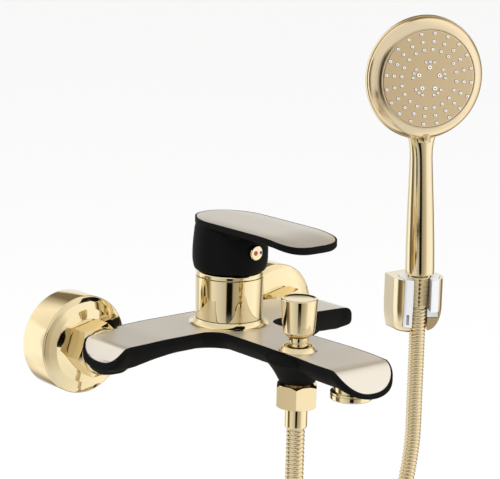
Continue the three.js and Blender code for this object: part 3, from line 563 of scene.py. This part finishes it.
def add_body():
    arms, spout = branch_shapes(arm_rows(0, 1.3), spout_rows(0, 1.3), casting_ring)
    parts = [spout, corner_sweep(-1), corner_sweep(1), cylinder(19.2, 4, 38.6, *TOWER),
             shape(*turned_data(softened([(0, -6.5), (9.9, -6.5), (10.5, -5.8), (11.8, -3.4),
                                          (13.6, -0.2), (16, 3.4), (18.6, 6.4), (19, 7.4),
                                          (13, 11.4), (0, 11.4)], 1.2),
                                72, along_z(*DIVERTER)))]
    for sign in (-1, 1):
        parts.append(shape(*turned_data([(0, 41.3), (12.8, 41.3), (13.2, 44), (12, 49), (9.6, 56),
                                         (6, 61), (0, 62)], 64, along_y(sign * INLET_X))))
    body = joined(arms, parts, "UNION")
    seat = lambda row, place: plate_ring(row, place, -2.0, 9)
    a, b = branch_shapes(arm_rows(0.5, 0), spout_rows(0.5, 0), seat)
    seat = joined(a, [b, corner(-1, 0.5, TOP_Z - 2, TOP_Z + 9),
                      corner(1, 0.5, TOP_Z - 2, TOP_Z + 9)], "UNION")
    seat = joined(seat, [cylinder(19.2, 2, 60, *TOWER)], "DIFFERENCE")
    cuts = [seat, cylinder(17.6, 14, 50, *TOWER), cylinder(7.2, -3, 20, *DIVERTER, 48),
            cylinder(8.6, -9, 0.4, *DIVERTER, 48), cylinder(10.6, -6, 3.2, *AERATOR, 48)]
    for sign in (-1, 1):
        cuts.append(shape(*turned_data([(0, 15), (17.3, 15), (17.3, 38.6), (13.8, 38.6),
                                        (13.8, 41.3), (9.2, 41.3), (9.2, 49), (0, 49)], 64,
                                       along_y(sign * INLET_X))))
    body = edged(joined(body, cuts, "DIFFERENCE"), 0.25, 2, 40)
    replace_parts(promote(body, "body_casting", "black_coat", "mixer", sharp=38), "mixer_body")


def add_top_plate():
    flat = lambda row, place: plate_ring(row, place, -1.7, 0)
    a, b = branch_shapes(arm_rows(0.8, 0), spout_rows(0.8, 0), flat)
    boss = shape(*turned_data([(0, 11), (24.4, 11), (24.4, 12.2), (23.4, 12.45), (22.3, 13),
                               (21.3, 14), (20.7, 15.1), (20.4, 15.8), (0, 15.8)], 96,
                              along_z(*TOWER)))
    limit = block(-40, 40, -100, -33.2, 5, 20)
    boss = joined(boss, [limit], "INTERSECT")
    plate = joined(a, [b, corner(-1, 0.8, TOP_Z - 1.7, TOP_Z),
                       corner(1, 0.8, TOP_Z - 1.7, TOP_Z), boss], "UNION")
    cuts = [cylinder(19.5, 0, 30, *TOWER), cylinder(11.1, 0, 30, *DIVERTER)]
    for sign in (-1, 1):
        cuts.append(shape(*turned_data([(0, 15), (17.3, 15), (17.3, 38.6), (13.8, 38.6),
                                        (13.8, 41.3), (0, 41.3)], 64, along_y(sign * INLET_X))))
    plate = edged(joined(plate, cuts, "DIFFERENCE"), 0.3, 3, 30)
    ribbon = promote(plate, "body_ribbon", "satin_gold", "mixer", sharp=28)
    ribbon.data.materials.append(LOOK["polished_gold"])
    for face in ribbon.data.polygons:
        x, y, z = face.center / MM
        if math.hypot(x - TOWER[0], y - TOWER[1]) < FLARE_R and z > TOP_Z + 0.05:
            face.material_index = 1
    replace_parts(ribbon, "body_top_plate")


# ------------------------------------------------------------------ wall side
def add_wall_side(side, sign):
    x = sign * INLET_X
    flange = turned(f"flange_cover_{side}", [(28, 0), (29.5, 0), (29.5, 19.9), (29.1, 20.05),
                    (29.1, 20.35), (29.4, 20.5), (28.9, 21.1), (26.5, 22.1), (22, 23.5),
                    (17, 24.4), (13.6, 24.9), (13.6, 23.3), (17, 22.8), (22, 21.8), (26.2, 20.2),
                    (28, 18.4), (28, 0)], along_y(x), "polished_gold", "mixer", 160, 0.35)
    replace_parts(flange, f"wall_flange_{side}")
    ring = turned(f"inlet_ring_{side}", [(6.4, 34.3), (12.3, 34.3), (12.3, 36.1), (9.9, 36.1),
                  (9.9, 38.8), (13.1, 38.8), (13.7, 39.9), (13.1, 41), (8.9, 41), (8.9, 48.6),
                  (6.4, 48.6), (6.4, 34.3)], along_y(x), "polished_gold", "mixer", 112, 0.3)
    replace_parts(ring, f"inlet_tail_{side}")
    nut = hexagon(29, 25.3, 38.3, math.radians(12), lambda a, b, h: (x + a, -h, b))
    cone = shape(*turned_data([(0, 25.3), (14.9, 25.3), (16.85, 26.4), (16.85, 36.5), (14.2, 38.3),
                               (0, 38.3)], 96, along_y(x)))
    nut = joined(nut, [cone], "INTERSECT")
    nut = joined(nut, [cylinder_y(13.6, 20, 36.4, x, 0), cylinder_y(10.4, 20, 40, x, 0)],
                 "DIFFERENCE")
    nut = promote(edged(nut, 0.35, 3, 25), f"union_hex_{side}", "polished_gold", f"nut_{side}",
                  sharp=24)
    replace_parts(nut, f"union_nut_{side}")


def hexagon(across, h0, h1, turn, place):
    r = across / math.sqrt(3)
    plan = [(r * math.cos(turn + i * math.pi / 3), r * math.sin(turn + i * math.pi / 3))
            for i in range(6)]
    return shape(*loft_data([[place(a, b, h) for a, b in plan] for h in (h0, h1)]))


# ------------------------------------------------------------------ tower and lever
def add_tower():
    at = along_z(*TOWER)
    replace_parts(turned("tower_sleeve", [(19.6, 16.1), (20.2, 16.1), (20.5, 41.2), (19.6, 41.2),
                       (19.6, 16.1)], at, "polished_gold", "mixer", 160, 0.25), "cartridge_sleeve")
    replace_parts(turned("tower_trim", [(19.4, 41.5), (20.3, 41.5), (20.3, 43.4), (19.4, 44.6),
                       (17.2, 46.2), (14.6, 46.9), (14.6, 46), (18, 44), (19.4, 42.4),
                       (19.4, 41.5)], at, "polished_gold", "mixer", 128, 0.4), "sleeve_trim_ring")


def lever_half(y, inset):
    rear, front = -41.4 - inset, -141.6 + inset
    back, tip = rear - 28, front + 19
    if y > back:
        return (20.6 - inset) * math.sqrt(max(0, 1 - ((y - back) / 28) ** 2))
    if y < tip:
        return (20.3 - inset) * max(0, 1 - ((tip - y) / 19) ** 3.1) ** (1 / 3.1)
    return 20.5 - inset


def lever_slab(inset, top, bottom, soft):
    rear, front = -41.4 - inset, -141.6 + inset
    stations = [rear - 28 * (1 - math.cos(math.pi / 2 * (i + 0.12) / 24)) for i in range(24)]
    stations += [rear - 28 - (front + 19 - rear + 28) * -i / 24 for i in range(0, 24)]
    stations += [front + 19 * (1 - math.sin(math.pi / 2 * i / 24)) for i in range(0, 24)]
    rings = []
    for y in stations:
        w = max(lever_half(y, inset), 0.3)
        z = LEVER_Z - 3.2 * min(1, max(0, (-y - 112) / 30)) ** 2
        c = min(soft, w * 0.4)
        rings.append([(w, y, z + top), (w * 0.5, y, z + top), (0, y, z + top),
                      (-w * 0.5, y, z + top), (-w, y, z + top), (-w, y, z + bottom + c * 0.7),
                      (-w + c, y, z + bottom), (w - c, y, z + bottom),
                      (w, y, z + bottom + c * 0.7)])
    return shape(*loft_data(rings))


def add_lever():
    profile = [(0, 45.3), (20.6, 45.3), (21, 45.5), (21.5, 46.3), (21.85, 47.4), (22.1, 48.6),
               (22.4, 50), (22.6, 52), (22.6, 57), (22.45, 60), (22.2, 64), (21.9, 67),
               (21.6, 70), (20.8, 74), (0, 74)]
    cap = shape(*turned_data(profile, 128, along_z(*TOWER)))
    swell = []
    for i in range(25):
        y = -66 - 50 * i / 24
        w = eased([(66, 15), (80, 14), (90, 13), (102, 12), (116, 10)], -y)
        b = eased([(66, 60), (80, 62.5), (90, 67), (102, 70.4), (116, 72.6)], -y)
        ring = [(w + 3, y, 73.5), (-w - 3, y, 73.5)]
        for k in range(13):
            a = math.pi * k / 12
            ring.append((-(w + 1) * math.cos(a), y, b + (1 - math.sin(a)) * min(5, 73 - b)))
        swell.append(ring)
    body = joined(cap, [lever_slab(-0.9, 0, -4.2, 1.2), shape(*loft_data(swell))], "UNION")
    # the room inside the cap clears the trim ring when the lever tilts
    cuts = [shape(*turned_data([(0, 40), (20.05, 40), (20.05, 45.6), (19.85, 46.6), (20.4, 49),
                                (19, 62), (16, 66.5), (0, 66.5)], 96, along_z(*TOWER))),
            cylinder_y(3.3, 80, 90, 0, 58.8, 40), cylinder_y(2.8, 66, 74.5, 0, 58.8, 32),
            lever_slab(-0.3, 8, -1.5, 0.3)]
    body = edged(joined(body, cuts, "DIFFERENCE"), 0.3, 3, 30)
    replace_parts(promote(body, "lever_paddle", "black_coat", "lever", sharp=35), "lever_body")
    plate = edged(lever_slab(0, 0, -1.2, 0.3), 0.25, 3, 30)
    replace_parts(promote(plate, "lever_inlay", "satin_gold", "lever", sharp=28), "lever_top_plate")
    at = along_y(0, 58.8)
    button = shape(*turned_data(softened([(0, 82), (3, 82), (3, 86.9), (4.5, 86.9), (4.5, 88),
                                          (4.1, 88.5), (3.4, 88.6), (0, 88.6)], 0.25), 64, at))
    dots = [cylinder_y(1.45, 88, 90, -1.1, 58.8, 40), cylinder_y(1.05, 88, 90, 2.9, 58.8, 32)]
    button = edged(joined(button, dots, "DIFFERENCE"), 0.1, 2, 40)
    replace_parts(promote(button, "lever_button", "polished_gold", "lever", sharp=40),
                "indicator_button")
    for name, node, x, r, look in (("dot_hot", "indicator_hot", -1.1, 1.25, "enamel_red"),
                                   ("dot_cold", "indicator_cold", 2.9, 0.85, "enamel_blue")):
        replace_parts(turned(name, [(0, 88.2), (r, 88.2), (r, 88.6), (r - 0.25, 88.75), (0, 88.8)],
                           along_y(x, 58.8), look, "lever", 40, 0.1), node)


# ------------------------------------------------------------------ diverter, outlet, aerator
def add_diverter():
    at = along_z(*DIVERTER)
    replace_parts(turned("diverter_cup", [(6.3, 3), (7, 3), (7, 10.4), (10.8, 10.4), (10.8, 12.5),
                       (10.3, 12.9), (9.5, 13.8), (8.95, 15), (8.2, 15), (8.2, 12.2), (6.3, 12.2),
                       (6.3, 3)], at, "polished_gold", "mixer", 96, 0.25), "diverter_collar")
    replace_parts(turned("diverter_grip", [(0, 22.2), (5, 22.2), (5, 20.8), (5.6, 20.5),
                       (7.6, 21.3), (9.2, 23.4), (9.7, 29), (10.7, 42.3), (10.3, 43),
                       (9.6, 43), (9.1, 42.7), (8.4, 42.4), (0, 42.1)], at, "polished_gold",
                       "diverter", 112, 0.5), "diverter_knob")
    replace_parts(turned("diverter_neck", [(0, -0.6), (4.6, -0.6), (4.6, 0.8), (2, 0.8), (2, 9.4),
                       (4.3, 9.4), (5.8, 10.8), (5.8, 16.8), (5.2, 17), (5.2, 17.4), (5.8, 17.6),
                       (5.8, 20.2), (4.7, 20.2), (4.7, 21.8), (2, 21.9), (2, 29), (0, 29)], at,
                       "polished_gold", "diverter", 72, 0.2), "diverter_stem")


def add_outlet():
    x, y = DIVERTER
    nut = hexagon(22.8, -20.9, -7.4, 0.82, lambda a, b, h: (x + a, y + b, h))
    r = 22.8 / math.sqrt(3)
    cone = shape(*turned_data([(0, -20.9), (r - 1.6, -20.9), (r, -19.7), (r, -8.6),
                               (r - 1.6, -7.4), (0, -7.4)], 96, along_z(x, y)))
    nut = joined(nut, [cone], "INTERSECT")
    nut = joined(nut, [cylinder(8.7, -18.1, -5, x, y), cylinder(5.8, -30, -5, x, y)],
                 "DIFFERENCE")
    nut = promote(edged(nut, 0.35, 3, 25), "hose_hex", "polished_gold", "hose_nut_body", sharp=24)
    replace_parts(nut, "hose_nut")
    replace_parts(turned("hose_sleeve", [(3.2, -33.6), (6.1, -33.6), (6.6, -32.8), (6.6, -22.1),
                       (6.2, -21.2), (5.3, -21.2), (5.3, -18.1), (3.2, -18.1), (3.2, -33.6)],
                       along_z(x, y), "polished_gold", "mixer", 80, 0.3), "outlet_ferrule")


def add_aerator():
    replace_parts(turned("aerator_ring", [(9.2, 1.6), (10.2, 1.6), (10.2, -4.9), (12.1, -4.9),
                       (12.1, -5.7), (11.7, -5.9), (11.7, -6.2), (12.1, -6.4), (12.1, -8.9),
                       (11.6, -9.4), (9.9, -9.4), (9.9, -7.4), (9.2, -6.6), (9.2, 1.6)],
                       along_z(*AERATOR), "polished_gold", "aerator", 96, 0.2), "aerator_housing")


# ------------------------------------------------------------------ holder
def holder_plan(k):
    bx = HOLDER[0]
    plan = [(bx + 11 * k, 0), (bx + 12.6 * k, -4)]
    for i in range(49):
        a = math.radians(24 - 228 * i / 48)
        plan.append((bx + 17.6 * k * math.cos(a), -19.6 + 17.6 * k * math.sin(a)))
    return plan + [(bx - 12.6 * k, -4), (bx - 11 * k, 0)]


def on_bore(things):
    """Turns shapes drawn round the bore's axis, slot toward -Y, and sets them in place."""
    place = Matrix.Translation((HOLDER[0] * MM, HOLDER[1] * MM, 0)) @ Matrix.Rotation(
        SLOT_YAW, 4, "Z")
    for thing in things:
        thing.data.transform(place)
    return things


def add_holder():
    bx = HOLDER[0]
    rings = []
    for i in range(36):
        if i < 14:
            z, k = 5 - 19 * i / 13, 1.0
        else:
            a = math.pi / 2 * (i - 13) / 22
            z, k = -14 - 18 * math.sin(a), 1 - 0.34 * (1 - math.cos(a))
        rings.append([(x, 0 if y == 0 else min(y + (1 - k) * 12, -1), z)
                      for x, y in holder_plan(k)])
    shell = shape(*loft_data(rings))
    cuts = on_bore([cylinder(14, -23, 9, 0, 1), block(-12, 12, -40, 0, -16.9, 9),
                    block(-12, -5, -40, -5, -27.3, 9), block(-6.2, 6.2, -40, 0, -40, 9),
                    block(-6, 40, -40, -2, -40, -16.9), cylinder(6.2, -40, 9, 0, 0)])
    cuts += [cylinder_y(1.9, -1, 9, bx, -7, 24), cylinder_y(3.4, 3, 9, bx, -7, 32)]
    shell = edged(joined(shell, cuts, "DIFFERENCE"), 0.45, 3, 28)
    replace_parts(promote(shell, "holder_cheeks", "plated_plastic", "mixer", sharp=30),
                "holder_shell")
    liner = joined(cylinder(13.7, -22.7, 5.3, 0, 1), [block(-6, 40, -40, -1.7, -40, -16.6)],
                   "DIFFERENCE")
    cheeks = joined(block(-11.7, 11.7, -15.9, 0, -16.6, 5.3),
                    [block(-11.7, -6.3, -15.9, -5.4, -27, 0)], "UNION")
    cheeks = joined(cheeks, [cylinder(16, -30, 9, 0, 0)], "INTERSECT")
    bore = shape(*turned_data([(0, 9), (8, 9), (7.9, 5.3), (6.8, -15), (6.2, -16.4), (6.2, -30),
                               (0, -30)], 72, along_z(0, 0)))
    liner = joined(joined(liner, [cheeks], "UNION"),
                   [bore, block(-6.1, 6.1, -60, 0, -40, 9),
                    block(-9.9, -8.1, -40, -9, -25.4, -18.4)],
                   "DIFFERENCE")
    on_bore([liner])
    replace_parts(promote(edged(liner, 0.4, 3, 28), "holder_insert", "plastic_grey", "mixer",
                        sharp=30), "holder_liner")


# ------------------------------------------------------------------ hand shower
def add_handset():
    def oval(a, b, z, y):
        return [head_point(a * math.cos(2 * math.pi * i / 64), y + b * math.sin(
            2 * math.pi * i / 64), z) for i in range(64)]
    wide = [(0, 9.5), (1, 9.9), (20, 9.7), (45, 9), (68, 8.1), (82, 7.7), (90, 8.4), (97, 11.3),
            (103, 17), (109, 22), (117, 20)]
    deep = [(0, 9.5), (1, 9.9), (20, 9.6), (45, 8.9), (68, 7.8), (82, 7), (90, 6.3), (97, 5.6),
            (103, 4.6), (109, 3.4), (117, 2.2)]
    back = [(0, 0), (82, 0), (90, -0.3), (97, -0.8), (103, -1.4), (109, -1.6), (117, -1)]
    rings = [oval(8.9, 8.9, 0, 0), oval(9.6, 9.6, 0.3, 0)]
    for i in range(60):
        z = 1.2 + 115 * i / 59
        rings.append(oval(eased(wide, z), eased(deep, z), z, eased(back, z)))
    handle = shape(*loft_data(rings))
    head = shape(*turned_data([(0, -6.4), (6, -6.35), (12, -6.2), (17.5, -5.9), (23, -5.4),
                               (28, -4.6), (32, -3.4), (35.4, -1.9), (38, -0.4), (39.8, 1),
                               (40.8, 2.4), (41.2, 3.8), (40.6, 5), (0, 5)], 128, on_head))
    shell = joined(head, [handle], "UNION")
    cuts = [shape(*turned_data([(0, 5.05), (40.9, 5.05), (40.9, 5.8), (43.4, 5.8), (43.4, 16),
                                (0, 16)], 128, on_head)),
            shape(*turned_data([(0, -3.2), (20, -2.6), (31, -0.6), (37.4, 2.6), (37.4, 9), (0, 9)],
                               96, on_head))]
    shell = edged(joined(shell, cuts, "DIFFERENCE"), 0.3, 3, 40)
    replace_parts(promote(shell, "handset_casting", "plated_plastic", "handset", sharp=45),
                "handset_shell")
    bezel = turned("spray_rim", [(36, 5.4), (40.2, 5.4), (40.25, 5.9), (39.9, 6.9), (39.2, 8),
                   (38.2, 9.2), (37, 10.2), (35.7, 11.1), (34.4, 11.7), (33.2, 12.1), (32.6, 12.2),
                   (32.2, 12.1), (32.2, 7.6), (36, 5.4)], on_head, "rim_gold",
                   "spray_selector", 160, 0.3, slot="plated_plastic")
    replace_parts(bezel, "spray_bezel")
    tab = [[head_point(x, -y, HEAD_UP - z) for x, y in ((-w, 6.2), (w, 6.2), (w, d), (-w, d))]
           for z, w, d in ((37.6, 1.7, 10.4), (41.6, 1.7, 10.4), (42.7, 1.3, 9.6))]
    promote(edged(shape(*loft_data(tab)), 0.35, 3, 30), "spray_tab", "plated_plastic",
            "spray_selector")
    face = turned("spray_plate", [(0, 11), (31.95, 11), (31.95, 11.9), (31.4, 12.1), (0, 12.1)],
                  on_head, "spray_gold", "spray_selector", 128, 0.15, slot="plated_plastic")
    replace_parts(face, "spray_face")
    add_nozzles()
    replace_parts(turned("hose_cone", cone_profile(), along_z(*HOLDER), "polished_gold",
                       "hose_end", 96, 0.15), "hose_cone_nut")


def cone_profile():
    """Tapered nut with shallow grooves between its bands."""
    profile = [(3.4, -15), (5.9, -15), (6.2, -14.6)]
    for k in range(6):
        z = -13.2 + 3.0 * k
        r = 6.25 + 1.0 * (z + 14.6) / 19
        profile += [(r, z), (r - 0.35, z + 0.15), (r - 0.35, z + 0.55), (r + 0.04, z + 0.7)]
    return profile + [(7.3, 4.6), (7, 5.3), (5.8, 5.3), (5.8, -2.8), (3.4, -2.8), (3.4, -15)]


def nozzle_spots():
    spots = []
    def at(r, degrees, size):
        a = math.radians(degrees)
        spots.append((r * math.sin(a), r * math.cos(a), size))
    for r in (30, 24.7, 19.4):
        for i in range(20):
            at(r, 7 + 18 * i, 0.95)
    for k in range(5):
        at(7.6, 3 + 72 * k, 1.35)
        for d in (-15, 0, 15):
            at(11.3, 3 + 72 * k + d, 0.8)
    return spots


def add_nozzles():
    """White nozzles on the spray plate, each ringed by a thin black disc of painted shade for its
    clearance gap, with a black disc of painted shade in its tip for the jet hole.
    """
    def rows(profile_of, name, look):
        verts, faces = [], []
        for x, z, r in nozzle_spots():
            v, f = turned_data(profile_of(r), 16, lambda a, h, t: head_point(
                x + a * math.cos(t), -h, HEAD_UP + z + a * math.sin(t)))
            faces += [tuple(i + len(verts) for i in face) for face in f]
            verts += v
        return link_mesh(name, verts, faces, look, "spray_selector", sharp=50)

    mat = rows(lambda r: [(0, 12), (r * 1.05, 12), (r, 12.9), (r * 0.85, 13), (r * 0.45, 13),
                          (r * 0.38, 12.4), (0, 12.4)], "spray_nozzles", "plastic_white")
    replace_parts(mat, "spray_nozzle_mat")
    # thin black rings of painted shade where the gaps round the nozzles would be dark
    rows(lambda r: [(0, 12), (r + 0.3, 12), (r + 0.3, 12.14), (0, 12.14)], "nozzle_gap_shade_rings",
         "rubber_black")
    # black discs of painted shade standing for the jet holes in the nozzle tips
    rows(lambda r: [(0, 12.3), (r * 0.4, 12.3), (r * 0.4, 12.55), (0, 12.55)], "nozzle_jet_hole_shade",
         "rubber_black")


# ------------------------------------------------------------------ studio
def add_studio():
    floor = bpy.data.meshes.new("floor")
    floor.from_pydata([(-6, -6, FLOOR_Z), (6, -6, FLOOR_Z), (6, 8, FLOOR_Z), (-6, 8, FLOOR_Z)],
                      [], [(0, 1, 2, 3)])
    floor.materials.append(shader("floor_paper", (0.95, 0.95, 0.95), 0.9, 0, 0.02, 30, tint=0))
    ground = bpy.data.objects.new("floor", floor)
    ground.visible_glossy = False
    SCENE.collection.objects.link(ground)
    world = bpy.data.worlds.new("studio")
    SCENE.world = world
    world.use_nodes = True
    tree = world.node_tree
    tree.nodes.clear()
    link = tree.links.new

    def node(kind, operation=None, **values):
        made = tree.nodes.new(kind)
        if operation:
            made.operation = operation
        for key, value in values.items():
            made.inputs[key].default_value = value
        return made

    def ramp(stops, scale, offset):
        """Colour ramp of (place, brightness, warmth) stops."""
        made = tree.nodes.new("ShaderNodeValToRGB")
        elements = made.color_ramp.elements
        for stop in stops[1:-1]:
            elements.new(stop[0] * scale + offset)
        for element, (_, value, warm) in zip(elements, stops):
            element.color = (value, value * (1 - 0.22 * warm), value * (1 - 0.6 * warm), 1)
        return made

    place = node("ShaderNodeTexCoord")
    split = node("ShaderNodeSeparateXYZ")
    link(place.outputs["Generated"], split.inputs["Vector"])
    flip = node("ShaderNodeMath", "MULTIPLY")
    flip.inputs[1].default_value = -1
    link(split.outputs["Y"], flip.inputs[0])
    turn = node("ShaderNodeMath", "ARCTAN2")
    link(split.outputs["X"], turn.inputs[0])
    link(flip.outputs[0], turn.inputs[1])
    share = node("ShaderNodeMath", "MULTIPLY_ADD")
    share.inputs[1].default_value = 1 / (2 * math.pi)
    share.inputs[2].default_value = 0.5
    link(turn.outputs[0], share.inputs[0])
    # Polished metal reflects bands that are fixed in the world; every other ray sees plain white.
    # light round the object, by the angle from straight out of the wall towards +X
    bands = ramp([(-180, 0.6, 0), (-166, 0.6, 0), (-160, 1, 0), (-138, 1, 0), (-131, 0.1, 1),
                  (-112, 0.2, 1), (-100, 0.8, 0.2), (-78, 0.65, 0), (-52, 0.5, 0.2),
                  (-48, 0.004, 1), (-31, 0.004, 1), (-27, 0.35, 0.5), (-9, 0.45, 0.4),
                  (8, 0.6, 0.2), (15, 0.9, 0.1), (60, 1, 0), (84, 0.7, 0.4), (92, 0.2, 0.8),
                  (108, 0.2, 0.8), (122, 0.8, 0), (165, 0.8, 0), (180, 0.6, 0)], 1 / 360, 0.5)
    link(share.outputs[0], bands.inputs["Fac"])
    # light from higher up, over the same angle
    cap = ramp([(-180, 0.75, 0.2), (-168, 0.95, 0.2), (-120, 0.7, 0.1), (0, 0.7, 0), (78, 1, 0.2),
                (92, 0.7, 0.3), (104, 0.2, 0.7), (160, 0.18, 0.7), (172, 0.5, 0.4),
                (180, 0.75, 0.2)], 1 / 360, 0.5)
    link(share.outputs[0], cap.inputs["Fac"])
    height = node("ShaderNodeMath", "MULTIPLY_ADD")
    height.inputs[1].default_value = 0.5
    height.inputs[2].default_value = 0.5
    link(split.outputs["Z"], height.inputs[0])
    # share of the high light, by the sine of the elevation
    cover = ramp([(-1, 1, 0), (-0.6, 1, 0), (-0.34, 0, 0), (0.27, 0, 0), (0.36, 1, 0),
                  (1, 1, 0)], 0.5, 0.5)
    link(height.outputs[0], cover.inputs["Fac"])
    around = tree.nodes.new("ShaderNodeMix")
    around.data_type = "RGBA"
    link(cover.outputs["Color"], around.inputs["Factor"])
    link(bands.outputs["Color"], around.inputs["A"])
    link(cap.outputs["Color"], around.inputs["B"])
    reflected = node("ShaderNodeBackground", Strength=1.2)
    link(around.outputs["Result"], reflected.inputs["Color"])
    plain = node("ShaderNodeBackground", Color=(1, 1, 1, 1), Strength=1.0)
    path = node("ShaderNodeLightPath")
    mix = node("ShaderNodeMixShader")
    link(path.outputs["Is Glossy Ray"], mix.inputs["Fac"])
    link(plain.outputs[0], mix.inputs[1])
    link(reflected.outputs[0], mix.inputs[2])
    out = node("ShaderNodeOutputWorld")
    link(mix.outputs[0], out.inputs["Surface"])
    add_light("key", (-1.4, -1.2, 1.6), 14, 1.2)
    add_light("fill", (1.5, -1.6, 1.0), 7, 1.4)


def add_light(name, where, power, size):
    data = bpy.data.lights.new(name, "AREA")
    data.energy, data.size, data.shape = power, size, "DISK"
    lamp = bpy.data.objects.new(name, data)
    lamp.location = where
    lamp.visible_glossy = False
    lamp.rotation_euler = (Vector((0.05, -0.06, 0.03)) - Vector(where)).to_track_quat(
        "-Z", "Y").to_euler()
    SCENE.collection.objects.link(lamp)


# ------------------------------------------------------------------ everything
add_camera()
dress_cad_nodes()
add_hose()
add_body()
add_top_plate()
add_wall_side("left", -1)
add_wall_side("right", 1)
add_tower()
add_lever()
add_diverter()
add_outlet()
add_aerator()
add_holder()
add_handset()
add_studio()
